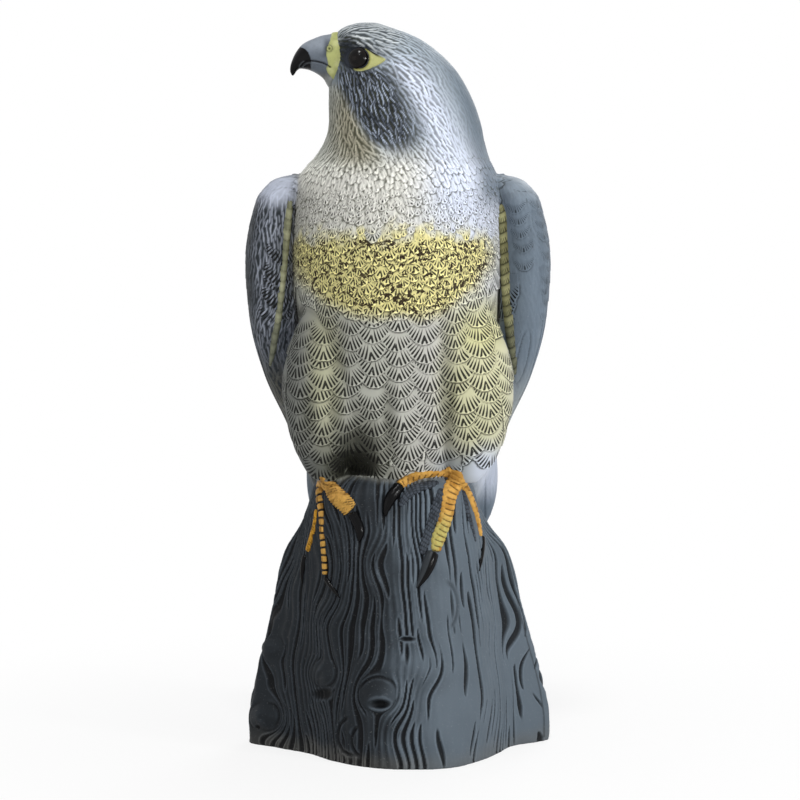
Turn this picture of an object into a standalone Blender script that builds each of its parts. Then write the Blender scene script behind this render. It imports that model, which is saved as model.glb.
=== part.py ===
"""Hawk decoy: a falcon moulded standing on a tree stump, hollow so that it can be weighted.

The figure is moulded in two halves that meet on the plane through the beak. A base plate closes
the stump and holds the push-in fill plug, and two glossy domed eyes sit in sockets in the head.
The bird looks along -Y and turns its head to its right, which is -X. Units are metres.
"""

import math

import bmesh
import bpy
import numpy as np
from mathutils import Matrix, Vector
from mathutils.bvhtree import BVHTree

# Overall sizes
FIGURE_HEIGHT = 0.420
WALL = 0.0032
SEAM_GAP = 0.0003
SEAT_GAP = 0.0003
FIT_GAP = 0.0003
OVERRUN = 0.010
# How many rows are drawn to each station of a form, and to find a place on it
ROW_COUNT = 2
CORE_ROW_COUNT = 1
FINE_ROW_COUNT = 8
ROUND = 2.0
SLIVER = 0.00002

# Stump
STUMP_TOP = 0.162
STUMP_SIDES = 76
FLUTES = 19
FLUTE_DEPTH = 0.0018
FLUTE_FADE = 0.6
# How far the flutes wander sideways, in radians, and how often on the way up and round
FLUTE_WANDER = 0.16
FLUTE_RIPPLE = 0.08
RIPPLES_ROUND = 3
WANDER_RISE = 5.0
RIPPLE_RISE = 7.0
# Broad swellings under the flutes
SWELLINGS = 10
SWELLING_SHARE = 0.4
SWELLING_RISE = 4.0
CROWN_LEFT = 0.053
CROWN_RIGHT = 0.045
CROWN_FRONT = 0.049
CROWN_BACK = 0.042
CROWN_SQUARENESS = 3.4
FOOTPRINT_REACH = 0.0895
# Footprint as degrees from +X and share of its reach: root spurs at the sides and front, flats between
FOOTPRINT = (
    (-177.0, 1.000), (-167.0, 0.855), (-147.0, 0.715), (-124.0, 0.760), (-98.0, 0.849),
    (-70.0, 0.883), (-51.0, 0.804), (-31.0, 0.749), (-11.0, 0.771), (4.0, 1.000),
    (18.0, 0.883), (46.0, 0.771), (98.0, 0.682), (145.0, 0.782), (168.0, 0.905),
)
# Share of the stump's height, share of the way from footprint to crown, share of that outline
STUMP_STATIONS = (
    (0.00, 0.00, 1.0), (0.10, 0.01, 1.0), (0.22, 0.09, 1.0), (0.36, 0.24, 1.0), (0.50, 0.38, 1.0),
    (0.62, 0.48, 1.0), (0.71, 0.60, 1.0), (0.79, 0.82, 1.0), (0.86, 0.96, 1.0), (0.94, 1.00, 0.95),
    (0.99, 1.00, 0.76), (1.00, 1.00, 0.50),
)

# Body, neck and head
BIRD_X = -0.0012
BODY_BOTTOM = 0.150
BODY_HALF_WIDTH = 0.060
BREAST_DEPTH = 0.064
BACK_DEPTH = 0.055
BODY_SIDES = 40
BODY_SQUARENESS = 2.1
# Share of the body's height, left and right edge, front and back edge as shares of the sizes above
BODY_STATIONS = (
    (0.000, -0.47, 0.60, 0.47, 0.62), (0.056, -0.67, 0.77, 0.66, 0.73),
    (0.148, -0.80, 0.87, 0.78, 0.84), (0.241, -0.88, 0.92, 0.88, 0.91),
    (0.333, -0.95, 0.95, 0.95, 0.96), (0.444, -1.00, 0.98, 1.00, 1.00),
    (0.556, -1.00, 0.98, 0.95, 0.96), (0.644, -0.97, 0.97, 0.86, 0.87),
    (0.680, -0.91, 0.93, 0.80, 0.80), (0.714, -0.79, 0.87, 0.72, 0.73),
    (0.748, -0.70, 0.83, 0.63, 0.66), (0.783, -0.66, 0.80, 0.56, 0.62),
    (0.835, -0.66, 0.72, 0.48, 0.56), (0.885, -0.65, 0.60, 0.44, 0.51),
    (0.922, -0.60, 0.46, 0.41, 0.48), (0.956, -0.60, 0.27, 0.36, 0.42),
    (0.975, -0.59, 0.10, 0.30, 0.35), (0.989, -0.51, -0.08, 0.20, 0.23),
    (0.998, -0.38, -0.20, 0.08, 0.09),
)

# Folded wings, mirrored about the bird's own middle
WING_TOP = 0.332
WING_TIP = 0.110
WING_OUT = BODY_HALF_WIDTH + 0.007
WING_BACK = 0.047
WING_HALF_THICKNESS = 0.0190
WING_HALF_CHORD = 0.040
WING_SIDES = 16
# Shares of the height, of the way out and back, of the thickness and chord, and the inward turn
WING_STATIONS = (
    (0.000, 0.360, 1.000, 0.12, 0.10, 34.0), (0.036, 0.400, 0.979, 0.40, 0.27, 34.0),
    (0.135, 0.500, 0.872, 0.62, 0.43, 33.0), (0.248, 0.590, 0.766, 0.74, 0.60, 30.0),
    (0.360, 0.700, 0.660, 0.82, 0.76, 26.0), (0.482, 0.855, 0.511, 0.90, 0.92, 20.0),
    (0.630, 0.970, 0.404, 1.00, 1.00, 15.0), (0.797, 1.010, 0.340, 1.00, 0.98, 13.0),
    (0.923, 0.980, 0.255, 0.86, 0.86, 10.0), (0.964, 0.945, 0.213, 0.74, 0.74, 8.0),
    (0.989, 0.905, 0.191, 0.55, 0.52, 8.0), (1.000, 0.880, 0.170, 0.22, 0.20, 8.0),
)
# Roll of small feathers down the front edge of each wing, as shares of its way out and forward and
# of the wing top's height
ROLL_RADIUS = 0.0046
ROLL_OUT = 0.0595
ROLL_FORWARD = 0.0235
ROLL_SIDES = 6
ROLL_ROW_COUNT = 3
ROLL_PATH = (
    (0.975, -0.766, 0.949), (1.000, -0.957, 0.892), (1.000, -1.000, 0.819),
    (0.966, -0.957, 0.741), (0.916, -0.851, 0.669),
)

# Feathered thighs
THIGH_TOP = 0.268
THIGH_BOTTOM = 0.157
THIGH_SIDES = 16
THIGH_OUT = 0.0415
THIGH_FORWARD = 0.031
THIGH_HALF_WIDTH = 0.0245
THIGH_HALF_DEPTH = 0.0220
# Shares of the height, of the way out and forward, and of the thigh's width and depth
THIGH_STATIONS = (
    (0.00, 0.964, 0.968, 0.22), (0.05, 0.964, 1.000, 0.42), (0.16, 0.988, 1.000, 0.66),
    (0.32, 1.000, 0.968, 0.88), (0.50, 0.988, 0.903, 1.00), (0.68, 0.952, 0.871, 0.94),
    (0.85, 0.892, 0.871, 0.70), (0.96, 0.843, 0.903, 0.36), (1.00, 0.831, 0.903, 0.14),
)

# Tail, laid down the back of the stump
TAIL_X = 0.0013
TAIL_TOP = 0.205
TAIL_END = 0.060
TAIL_BACK = 0.059
TAIL_HALF_WIDTH = 0.050
TAIL_HALF_THICKNESS = 0.010
TAIL_SIDES = 24
TAIL_SQUARENESS = 3.0
# Shares of the height, of the way back, of the width and of the thickness
TAIL_STATIONS = (
    (0.00, 1.000, 0.48, 0.50), (0.05, 1.000, 0.56, 0.66), (0.16, 0.958, 0.68, 0.72),
    (0.34, 0.873, 0.86, 0.80), (0.52, 0.746, 1.10, 1.30), (0.70, 0.644, 1.13, 1.70),
    (0.88, 0.627, 1.00, 1.60), (1.00, 0.644, 0.75, 1.10),
)

# Beak, as sections hung on the line of the bill: shares of its reach, of the body's height, of its
# half height and half width, and the tilt
BEAK_SIDES = 14
BEAK_REACH = 0.0613
BEAK_HALF_HEIGHT = 0.0135
BEAK_HALF_WIDTH = 0.0140
BEAK_SECTIONS = (
    (0.473, 0.9204, 1.000, 1.000, 0.0), (0.620, 0.9241, 0.993, 0.829, 0.0),
    (0.726, 0.9278, 0.830, 0.671, 4.0), (0.827, 0.9267, 0.652, 0.543, 10.0),
    (0.905, 0.9204, 0.481, 0.414, 22.0), (0.959, 0.9093, 0.333, 0.300, 42.0),
    (0.990, 0.8970, 0.207, 0.200, 66.0), (1.000, 0.8837, 0.059, 0.071, 82.0),
)

# Toes of the two feet, each from the ankle to the tip of its talon: places along X and Z on the
# front of the stump and the toe's radius there, all as shares of the stump's height
TOE_SINK = 0.30
TOE_SIDES = 8
TOES = {
    "left_inner_toe": (
        (0.1852, 1.0062, 0.0340), (0.1358, 1.0062, 0.0321), (0.0864, 1.0031, 0.0296),
        (0.0401, 0.9907, 0.0284), (0.0062, 0.9722, 0.0259), (-0.0216, 0.9444, 0.0222),
        (-0.0401, 0.9074, 0.0179), (-0.0481, 0.8673, 0.0105), (-0.0494, 0.8395, 0.0043),
    ),
    "left_middle_toe": (
        (0.1914, 0.9938, 0.0340), (0.1852, 0.9537, 0.0370), (0.1728, 0.9074, 0.0370),
        (0.1605, 0.8580, 0.0358), (0.1420, 0.8025, 0.0321), (0.1265, 0.7531, 0.0278),
        (0.1111, 0.7160, 0.0235), (0.0895, 0.6728, 0.0185), (0.0679, 0.6358, 0.0111),
        (0.0556, 0.6111, 0.0043),
    ),
    "left_outer_toe": (
        (0.2068, 0.9877, 0.0309), (0.2253, 0.9506, 0.0296), (0.2531, 0.9012, 0.0272),
        (0.2716, 0.8457, 0.0247), (0.2870, 0.7840, 0.0222), (0.2951, 0.7407, 0.0185),
        (0.2951, 0.7099, 0.0148), (0.2901, 0.6728, 0.0105), (0.2809, 0.6420, 0.0043),
    ),
    "right_inner_toe": (
        (-0.2654, 0.9938, 0.0309), (-0.2469, 0.9568, 0.0346), (-0.2068, 0.9198, 0.0333),
        (-0.1698, 0.8858, 0.0296), (-0.1481, 0.8488, 0.0235), (-0.1358, 0.8086, 0.0185),
        (-0.1389, 0.7778, 0.0111), (-0.1481, 0.7531, 0.0043),
    ),
    "right_middle_toe": (
        (-0.2747, 0.9815, 0.0309), (-0.2778, 0.9136, 0.0284), (-0.2778, 0.8395, 0.0265),
        (-0.2716, 0.7531, 0.0259), (-0.2667, 0.6605, 0.0247), (-0.2531, 0.6235, 0.0210),
        (-0.2346, 0.5988, 0.0160), (-0.2191, 0.5772, 0.0099), (-0.2099, 0.5648, 0.0043),
    ),
    "right_outer_toe": (
        (-0.2840, 0.9506, 0.0272), (-0.2994, 0.8704, 0.0259), (-0.3086, 0.8025, 0.0259),
        (-0.3272, 0.7346, 0.0235), (-0.3395, 0.6914, 0.0198), (-0.3475, 0.6451, 0.0123),
        (-0.3506, 0.6111, 0.0043),
    ),
}

# Eyes
EYE_X = -0.0220
# Share of the body's height
EYE_RISE = 0.9204
EYE_RADIUS = 0.0062
EYE_DOME_HEIGHT = 0.0034
EYE_RIM = 0.0016
EYE_STEM_RADIUS = 0.0016
EYE_STEM_LENGTH = 0.0070
EYE_PROUD = 0.0004
EYE_SIDES = 16
EYE_ROW_COUNT = 3

# Base plate, fill neck and plug
RIM = 0.0030
LEDGE = 0.0030
LEDGE_HEIGHT = 0.012
PLATE_THICKNESS = 0.0030
PLATE_SIDES = 52
PLUG_Y = 0.346 * FOOTPRINT_REACH
BORE_RADIUS = 0.0130
NECK_WALL = 0.0024
NECK_HEIGHT = 0.0110
FLANGE_RADIUS = 0.0170
FLANGE_THICKNESS = 0.0020
FLANGE_RECESS = 0.0012
PLUG_HEIGHT = 0.0135
PLUG_WALL = 0.0020
PLUG_TAPER = 0.0010
GRIP_WIDTH = 0.0030
ROUND_SIDES = 28

# Inside of the halves
CORE_BODY_SIDES = 20
CORE_WING_SIDES = 12
CORE_STUMP_SIDES = 30


def clear_scene():
    """Remove every object, so that the model starts from an empty scene."""
    for obj in list(bpy.data.objects):
        bpy.data.objects.remove(obj, do_unlink=True)


def new_collection(name):
    """Return a new collection linked to the scene."""
    collection = bpy.data.collections.new(name)
    bpy.context.scene.collection.children.link(collection)
    return collection


def plastic(name, colour, roughness):
    """Return a plain moulded or painted plastic."""
    material = bpy.data.materials.new(name)
    material.use_nodes = True
    shader = material.node_tree.nodes["Principled BSDF"]
    shader.inputs["Base Color"].default_value = (*colour, 1.0)
    shader.inputs["Roughness"].default_value = roughness
    shader.inputs["Metallic"].default_value = 0.0
    material.diffuse_color = (*colour, 1.0)
    return material


def smooth_rows(stations, rows_between):
    """Return the stations with smooth in-between rows, as a Catmull-Rom curve through them."""
    points = np.array(stations, dtype=float)
    before = 2 * points[0] - points[1]
    after = 2 * points[-1] - points[-2]
    padded = np.vstack([before, points, after])
    rows = []
    for index in range(len(points) - 1):
        a, b, c, d = padded[index:index + 4]
        for step in range(rows_between):
            t = step / rows_between
            rows.append(0.5 * (2 * b + (c - a) * t + (2 * a - 5 * b + 4 * c - d) * t ** 2
                               + (3 * b - a - 3 * c + d) * t ** 3))
    rows.append(points[-1])
    return rows


def angles(sides):
    """Return evenly spaced angles round a full turn."""
    return np.linspace(0.0, 2 * math.pi, sides, endpoint=False)


def oval(sides, left, right, front, back, squareness):
    """Return X and Y round an oval whose four edges are set one by one."""
    turn = angles(sides)
    power = 2.0 / squareness
    cosine = np.sign(np.cos(turn)) * np.abs(np.cos(turn)) ** power
    sine = np.sign(np.sin(turn)) * np.abs(np.sin(turn)) ** power
    middle = (left + right) / 2
    x = middle + (right - left) / 2 * cosine
    y = np.where(sine < 0, front * sine, back * sine)
    return x, y


def loft(name, rings, collection):
    """Return an object skinned through rings of points and closed by a cap at each end."""
    bm = bmesh.new()
    loops = []
    for ring in rings:
        made = bmesh.ops.create_circle(bm, segments=len(ring), radius=1.0)
        verts = made["verts"]
        for vert, point in zip(verts, ring):
            vert.co = point
        edges = {edge for vert in verts for edge in vert.link_edges}
        loops.append(sorted(edges, key=lambda edge: edge.index))
    for lower, upper in zip(loops, loops[1:]):
        bmesh.ops.bridge_loops(bm, edges=lower + upper)
    for end in (loops[0], loops[-1]):
        bmesh.ops.edgeloop_fill(bm, edges=end)
    bmesh.ops.recalc_face_normals(bm, faces=bm.faces)
    return object_from(bm, name, collection)


def object_from(bm, name, collection):
    """Turn a bmesh into an object in the collection."""
    mesh = bpy.data.meshes.new(name)
    bm.to_mesh(mesh)
    bm.free()
    obj = bpy.data.objects.new(name, mesh)
    collection.objects.link(obj)
    return obj


def evaluated_mesh(obj):
    """Return a new mesh of the object as its modifiers leave it."""
    graph = bpy.context.evaluated_depsgraph_get()
    return bpy.data.meshes.new_from_object(obj.evaluated_get(graph), depsgraph=graph)


def combine(target, tools, operation):
    """Join the tools to the target, or cut or keep what they share, and remove them."""
    together = bpy.data.collections.new("tools")
    for tool in tools:
        together.objects.link(tool)
    modifier = target.modifiers.new("combine", "BOOLEAN")
    modifier.operation = operation
    modifier.solver = "EXACT"
    modifier.operand_type = "COLLECTION"
    modifier.collection = together
    mesh = evaluated_mesh(target)
    target.modifiers.clear()
    target.data = mesh
    for tool in tools:
        bpy.data.objects.remove(tool, do_unlink=True)
    bpy.data.collections.remove(together)
    tidy_faces(target)
    return target


def tidy_faces(obj):
    """Close up the needle-thin faces that a Boolean leaves, and split its many-sided ones."""
    bm = bmesh.new()
    bm.from_mesh(obj.data)
    bmesh.ops.dissolve_degenerate(bm, dist=SLIVER, edges=bm.edges)
    bmesh.ops.triangulate(bm, faces=[face for face in bm.faces if len(face.verts) > 4])
    bm.to_mesh(obj.data)
    bm.free()


def keep_main_skin(obj):
    """Remove the small closed voids and off-cuts that a Boolean can leave beside the main form."""
    bm = bmesh.new()
    bm.from_mesh(obj.data)
    waiting = set(bm.faces)
    skins = []
    while waiting:
        skin = set()
        edge_of_search = [waiting.pop()]
        while edge_of_search:
            face = edge_of_search.pop()
            skin.add(face)
            for edge in face.edges:
                touching = [other for other in edge.link_faces if other in waiting]
                waiting.difference_update(touching)
                edge_of_search.extend(touching)
        skins.append(skin)
    main_skin = max(skins, key=lambda skin: sum(face.calc_area() for face in skin))
    spare = [face for skin in skins if skin is not main_skin for face in skin]
    bmesh.ops.delete(bm, geom=spare, context="FACES")
    bm.to_mesh(obj.data)
    bm.free()


def box(name, low, high, collection):
    """Return a box between two corners."""
    bm = bmesh.new()
    low, high = Vector(low), Vector(high)
    size = high - low
    place = Matrix.Translation((low + high) / 2) @ Matrix.Diagonal((*size, 1.0))
    bmesh.ops.create_cube(bm, size=1.0, matrix=place)
    return object_from(bm, name, collection)


def body_height(share):
    """Return the height at a share of the way from the body's lower end to the crown of the head."""
    return BODY_BOTTOM + share * (FIGURE_HEIGHT - BODY_BOTTOM)


def body_rings(inset, sides, rows_between):
    """Return the rings of the body, neck and head, drawn in by the inset."""
    rings = []
    for share, left, right, front, back in smooth_rows(BODY_STATIONS, rows_between):
        height = body_height(share)
        left_edge = left * BODY_HALF_WIDTH + inset
        right_edge = right * BODY_HALF_WIDTH - inset
        front_edge = front * BREAST_DEPTH - inset
        back_edge = back * BACK_DEPTH - inset
        if min(right_edge - left_edge, front_edge, back_edge) < inset:
            continue
        x, y = oval(sides, left_edge, right_edge, front_edge, back_edge, BODY_SQUARENESS)
        rings.append(np.column_stack([x + BIRD_X, y, np.full(sides, height)]))
    return rings


def wing_rings(side, inset, sides, rows_between):
    """Return the rings of one folded wing; side is -1 for -X and 1 for +X."""
    rings = []
    for share, out, back, thickness, chord, inward in smooth_rows(WING_STATIONS, rows_between):
        height = WING_TIP + share * (WING_TOP - WING_TIP)
        half_x = thickness * WING_HALF_THICKNESS - inset
        half_y = chord * WING_HALF_CHORD - inset
        if min(half_x, half_y) < inset:
            continue
        x, y = oval(sides, -half_x, half_x, half_y, half_y, ROUND)
        turn = side * math.radians(inward)
        turned_x = x * math.cos(turn) - y * math.sin(turn) + BIRD_X + side * out * WING_OUT
        turned_y = x * math.sin(turn) + y * math.cos(turn) + back * WING_BACK
        rings.append(np.column_stack([turned_x, turned_y, np.full(sides, height)]))
    return rings


def thigh_rings(side):
    """Return the rings of one feathered thigh."""
    rings = []
    for share, out, forward, size in smooth_rows(THIGH_STATIONS, CORE_ROW_COUNT):
        height = THIGH_BOTTOM + share * (THIGH_TOP - THIGH_BOTTOM)
        half_x = size * THIGH_HALF_WIDTH
        half_y = size * THIGH_HALF_DEPTH
        x, y = oval(THIGH_SIDES, -half_x, half_x, half_y, half_y, ROUND)
        x = x + BIRD_X + side * out * THIGH_OUT
        rings.append(np.column_stack([x, y - forward * THIGH_FORWARD, np.full(THIGH_SIDES, height)]))
    return rings


def tail_rings():
    """Return the rings of the tail."""
    rings = []
    for share, back, width, thickness in smooth_rows(TAIL_STATIONS, ROW_COUNT):
        height = TAIL_END + share * (TAIL_TOP - TAIL_END)
        half_x = width * TAIL_HALF_WIDTH
        half_y = thickness * TAIL_HALF_THICKNESS
        x, y = oval(TAIL_SIDES, -half_x, half_x, half_y, half_y, TAIL_SQUARENESS)
        rings.append(np.column_stack([x + TAIL_X, y + back * TAIL_BACK, np.full(TAIL_SIDES, height)]))
    return rings


def footprint_radius(turn):
    """Return the stump's radius on the ground at each angle, rounded between the root spurs."""
    bearings = np.radians([bearing for bearing, _ in FOOTPRINT])
    radii = FOOTPRINT_REACH * np.array([share for _, share in FOOTPRINT])
    wrapped = (turn + math.pi) % (2 * math.pi) - math.pi
    around = np.concatenate([bearings - 2 * math.pi, bearings, bearings + 2 * math.pi])
    repeated = np.tile(radii, 3)
    result = np.empty_like(wrapped)
    for place, angle in enumerate(wrapped):
        index = np.searchsorted(around, angle) - 1
        span = around[index + 1] - around[index]
        t = (angle - around[index]) / span
        slope_in = (repeated[index + 1] - repeated[index - 1]) / (around[index + 1] - around[index - 1])
        slope_out = (repeated[index + 2] - repeated[index]) / (around[index + 2] - around[index])
        result[place] = ((2 * t ** 3 - 3 * t ** 2 + 1) * repeated[index]
                         + (t ** 3 - 2 * t ** 2 + t) * span * slope_in
                         + (3 * t ** 2 - 2 * t ** 3) * repeated[index + 1]
                         + (t ** 3 - t ** 2) * span * slope_out)
    return result


def crown_radius(turn):
    """Return the radius of the stump's top outline at each angle."""
    depth = np.where(np.sin(turn) < 0, CROWN_FRONT, CROWN_BACK)
    width = np.where(np.cos(turn) < 0, CROWN_LEFT, CROWN_RIGHT)
    across = np.abs(np.cos(turn) / width) ** CROWN_SQUARENESS
    along = np.abs(np.sin(turn) / depth) ** CROWN_SQUARENESS
    return (across + along) ** (-1.0 / CROWN_SQUARENESS)


def stump_radius(turn, blend, size, inset):
    """Return the stump's radius at each angle without its flutes."""
    radius = (1 - blend) * footprint_radius(turn) + blend * crown_radius(turn)
    return radius * size - inset


def stump_rings():
    """Return the rings of the stump with its wandering bark flutes."""
    turn = angles(STUMP_SIDES)
    rings = []
    for share, blend, size in smooth_rows(STUMP_STATIONS, ROW_COUNT):
        ripple = FLUTE_RIPPLE * np.sin(RIPPLES_ROUND * turn + RIPPLE_RISE * share)
        wander = FLUTE_WANDER * math.sin(WANDER_RISE * share) + ripple
        swelling = SWELLING_SHARE * np.sin(SWELLINGS * turn - SWELLING_RISE * share)
        wave = np.sin(FLUTES * (turn + wander)) + swelling
        depth = FLUTE_DEPTH * (1 - FLUTE_FADE * blend)
        radius = stump_radius(turn, blend, size, 0.0) - depth * (1 - wave) / 2
        height = np.full(STUMP_SIDES, share * STUMP_TOP)
        rings.append(np.column_stack([radius * np.cos(turn), radius * np.sin(turn), height]))
    return rings


def core_stump_rings():
    """Return the rings of the space inside the stump, drawn in for the ledge at its foot."""
    turn = angles(CORE_STUMP_SIDES)
    rings = []
    foot = PLATE_THICKNESS
    ledge_inset = RIM + FIT_GAP + LEDGE
    wall_inset = WALL + FLUTE_DEPTH
    for height in (foot, LEDGE_HEIGHT):
        radius = stump_radius(turn, 0.0, 1.0, ledge_inset)
        rings.append(np.column_stack([radius * np.cos(turn), radius * np.sin(turn),
                                      np.full(CORE_STUMP_SIDES, height)]))
    for share, blend, size in smooth_rows(STUMP_STATIONS, CORE_ROW_COUNT):
        height = share * STUMP_TOP
        if height < LEDGE_HEIGHT + WALL or height > STUMP_TOP - WALL:
            continue
        radius = stump_radius(turn, blend, size, wall_inset)
        rings.append(np.column_stack([radius * np.cos(turn), radius * np.sin(turn),
                                      np.full(CORE_STUMP_SIDES, height)]))
    return rings


def plate_outline(inset, sides):
    """Return X and Y round the base plate or its rebate."""
    turn = angles(sides)
    radius = stump_radius(turn, 0.0, 1.0, inset)
    return radius * np.cos(turn), radius * np.sin(turn)


def make_beak(collection):
    """Return the hooked beak, lofted through tilted sections."""
    rings = []
    for reach, share, high, wide, tilt in BEAK_SECTIONS:
        middle = (BIRD_X - reach * BEAK_REACH, 0.0, body_height(share))
        place = Matrix.Translation(middle) @ Matrix.Rotation(-math.radians(tilt), 4, "Y")
        half_width, half_height = wide * BEAK_HALF_WIDTH, high * BEAK_HALF_HEIGHT
        ring = [place @ Vector((0.0, half_width * math.cos(turn), half_height * math.sin(turn)))
                for turn in angles(BEAK_SIDES)]
        rings.append(np.array(ring))
    return loft("beak", rings, collection)


def laid_on(surface, knots):
    """Return places and radii along a toe that lies half sunk in the front of a surface."""
    before = -2.0 * FOOTPRINT_REACH
    places = []
    radii = [STUMP_TOP * radius for _, _, radius in knots]
    for (along, rise, _), radius in zip(knots, radii):
        x, z = STUMP_TOP * along, STUMP_TOP * rise
        ahead = Vector((x, before, z))
        hit = surface.ray_cast(ahead, Vector((0.0, 1.0, 0.0)))[0]
        if hit is None or hit.y > 0.0:
            hit = surface.find_nearest(Vector((x, -CROWN_FRONT, z)))[0]
        places.append(hit + Vector((0.0, TOE_SINK * radius, 0.0)))
    eased = [places[0]]
    for last, here, after in zip(places, places[1:], places[2:]):
        eased.append((last + 2 * here + after) / 4)
    return eased + [places[-1]], radii


def tapered_tube(name, points, radii, sides, collection):
    """Return a closed tube through the points, whose radius changes from one to the next."""
    curve = bpy.data.curves.new(name, "CURVE")
    curve.dimensions = "3D"
    curve.bevel_depth = 1.0
    curve.bevel_resolution = (sides - 4) // 2
    curve.use_fill_caps = True
    spline = curve.splines.new("POLY")
    spline.points.add(len(points) - 1)
    for knot, point, radius in zip(spline.points, points, radii):
        knot.co = (*point, 1.0)
        knot.radius = radius
    guide = bpy.data.objects.new(name, curve)
    collection.objects.link(guide)
    bpy.context.view_layer.update()
    mesh = evaluated_mesh(guide)
    bpy.data.objects.remove(guide, do_unlink=True)
    bm = bmesh.new()
    bm.from_mesh(mesh)
    bmesh.ops.remove_doubles(bm, verts=bm.verts, dist=0.00001)
    bmesh.ops.recalc_face_normals(bm, faces=bm.faces)
    return object_from(bm, name, collection)


def make_rolls(collection):
    """Return the roll of small feathers down the front edge of each wing."""
    rolls = []
    for side in (-1, 1):
        path = [Vector((BIRD_X + side * out * ROLL_OUT, forward * ROLL_FORWARD, rise * WING_TOP))
                for out, forward, rise in smooth_rows(ROLL_PATH, ROLL_ROW_COUNT)]
        taper = ROLL_RADIUS * (0.45 + 0.55 * np.sin(np.linspace(0.25, 2.7, len(path))))
        rolls.append(tapered_tube(f"roll_{side}", path, taper, ROLL_SIDES, collection))
    return rolls


def make_toes(surface, collection):
    """Return the toes and talons of both feet, laid on the front of the stump."""
    toes = []
    for name, knots in TOES.items():
        places, radii = laid_on(surface, knots)
        toes.append(tapered_tube(name, places, radii, TOE_SIDES, collection))
    return toes


def eye_frame(side):
    """Return the matrix of an eye: its own +Z points out of the head; side -1 is the front."""
    rows = np.array(smooth_rows(BODY_STATIONS, FINE_ROW_COUNT))
    left, right, front, back = (np.interp(EYE_RISE, rows[:, 0], rows[:, n]) for n in range(1, 5))
    half = (right - left) / 2 * BODY_HALF_WIDTH
    middle = (right + left) / 2 * BODY_HALF_WIDTH
    depth = front * BREAST_DEPTH if side < 0 else back * BACK_DEPTH
    across = (EYE_X - middle) / half
    y = side * depth * (1 - abs(across) ** BODY_SQUARENESS) ** (1 / BODY_SQUARENESS)
    outward = Vector(((EYE_X - middle) / half ** 2, y / depth ** 2, 0.0)).normalized()
    turn = outward.to_track_quat("Z", "Y").to_matrix().to_4x4()
    return Matrix.Translation((EYE_X + BIRD_X, y, body_height(EYE_RISE))) @ turn


def turned(name, profile, sides, collection):
    """Return a turned piece from a profile of radius and height, run from top to bottom."""
    bm = bmesh.new()
    verts = [bm.verts.new((radius, 0.0, height)) for radius, height in profile]
    for first, second in zip(verts, verts[1:]):
        bm.edges.new((first, second))
    obj = object_from(bm, name, collection)
    screw = obj.modifiers.new("turn", "SCREW")
    screw.steps = sides
    screw.render_steps = sides
    screw.use_merge_vertices = True
    screw.merge_threshold = 0.00001
    mesh = evaluated_mesh(obj)
    obj.modifiers.clear()
    obj.data = mesh
    return obj


def dome_profile(radius, height, steps):
    """Return radius and height down a shallow dome, from its top to its edge."""
    sphere = (radius ** 2 + height ** 2) / (2 * height)
    edge = math.asin(radius / sphere)
    turns = [edge * step / steps for step in range(steps + 1)]
    return [(sphere * math.sin(turn), sphere * math.cos(turn) - sphere + height) for turn in turns]


def make_eye(name, side, material, collection):
    """Return one glossy eye: a dome, its rim and the stem glued into the head."""
    profile = dome_profile(EYE_RADIUS, EYE_DOME_HEIGHT, EYE_ROW_COUNT)
    profile += [(EYE_RADIUS, -EYE_RIM), (EYE_STEM_RADIUS, -EYE_RIM),
                (EYE_STEM_RADIUS, -EYE_RIM - EYE_STEM_LENGTH), (0.0, -EYE_RIM - EYE_STEM_LENGTH)]
    eye = turned(name, profile, EYE_SIDES, collection)
    eye.matrix_world = eye_frame(side) @ Matrix.Translation((0.0, 0.0, EYE_PROUD))
    finish(eye, material)
    return eye


def eye_socket(side, collection):
    """Return the cutter for an eye's socket and stem hole."""
    floor = EYE_PROUD - EYE_RIM - SEAT_GAP
    depth = EYE_STEM_LENGTH + OVERRUN
    profile = [(0.0, OVERRUN), (EYE_RADIUS + FIT_GAP, OVERRUN), (EYE_RADIUS + FIT_GAP, floor),
               (EYE_STEM_RADIUS + FIT_GAP, floor), (EYE_STEM_RADIUS + FIT_GAP, floor - depth),
               (0.0, floor - depth)]
    cutter = turned(f"socket_{side}", profile, EYE_SIDES, collection)
    cutter.data.transform(eye_frame(side))
    return cutter


def finish(obj, material):
    """Give an object its material and smooth shading with sharp rims."""
    obj.data.materials.clear()
    obj.data.materials.append(material)
    obj.data.shade_smooth()
    obj.data.set_sharp_from_angle(angle=math.radians(40))


def make_figure(work):
    """Return the whole outer form of the bird and its stump as one solid."""
    figure = loft("stump", stump_rings(), work)
    body = loft("body", body_rings(0.0, BODY_SIDES, ROW_COUNT), work)
    wings = [loft(f"wing_{side}", wing_rings(side, 0.0, WING_SIDES, ROW_COUNT), work) for side in (-1, 1)]
    thighs = [loft(f"thigh_{side}", thigh_rings(side), work) for side in (-1, 1)]
    tail = loft("tail", tail_rings(), work)
    combine(figure, [tail, body, *thighs, *wings, *make_rolls(work), make_beak(work)], "UNION")
    graph = bpy.context.evaluated_depsgraph_get()
    surface = BVHTree.FromObject(figure, graph)
    combine(figure, make_toes(surface, work), "UNION")
    keep_main_skin(figure)
    return figure


def make_core(work):
    """Return the hollow inside the figure, down to the ledge that the base plate meets."""
    core = loft("core_stump", core_stump_rings(), work)
    body = loft("core_body", body_rings(WALL, CORE_BODY_SIDES, CORE_ROW_COUNT), work)
    wings = [loft(f"core_wing_{side}", wing_rings(side, WALL, CORE_WING_SIDES, CORE_ROW_COUNT), work)
             for side in (-1, 1)]
    return combine(core, [body, *wings], "UNION")


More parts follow.
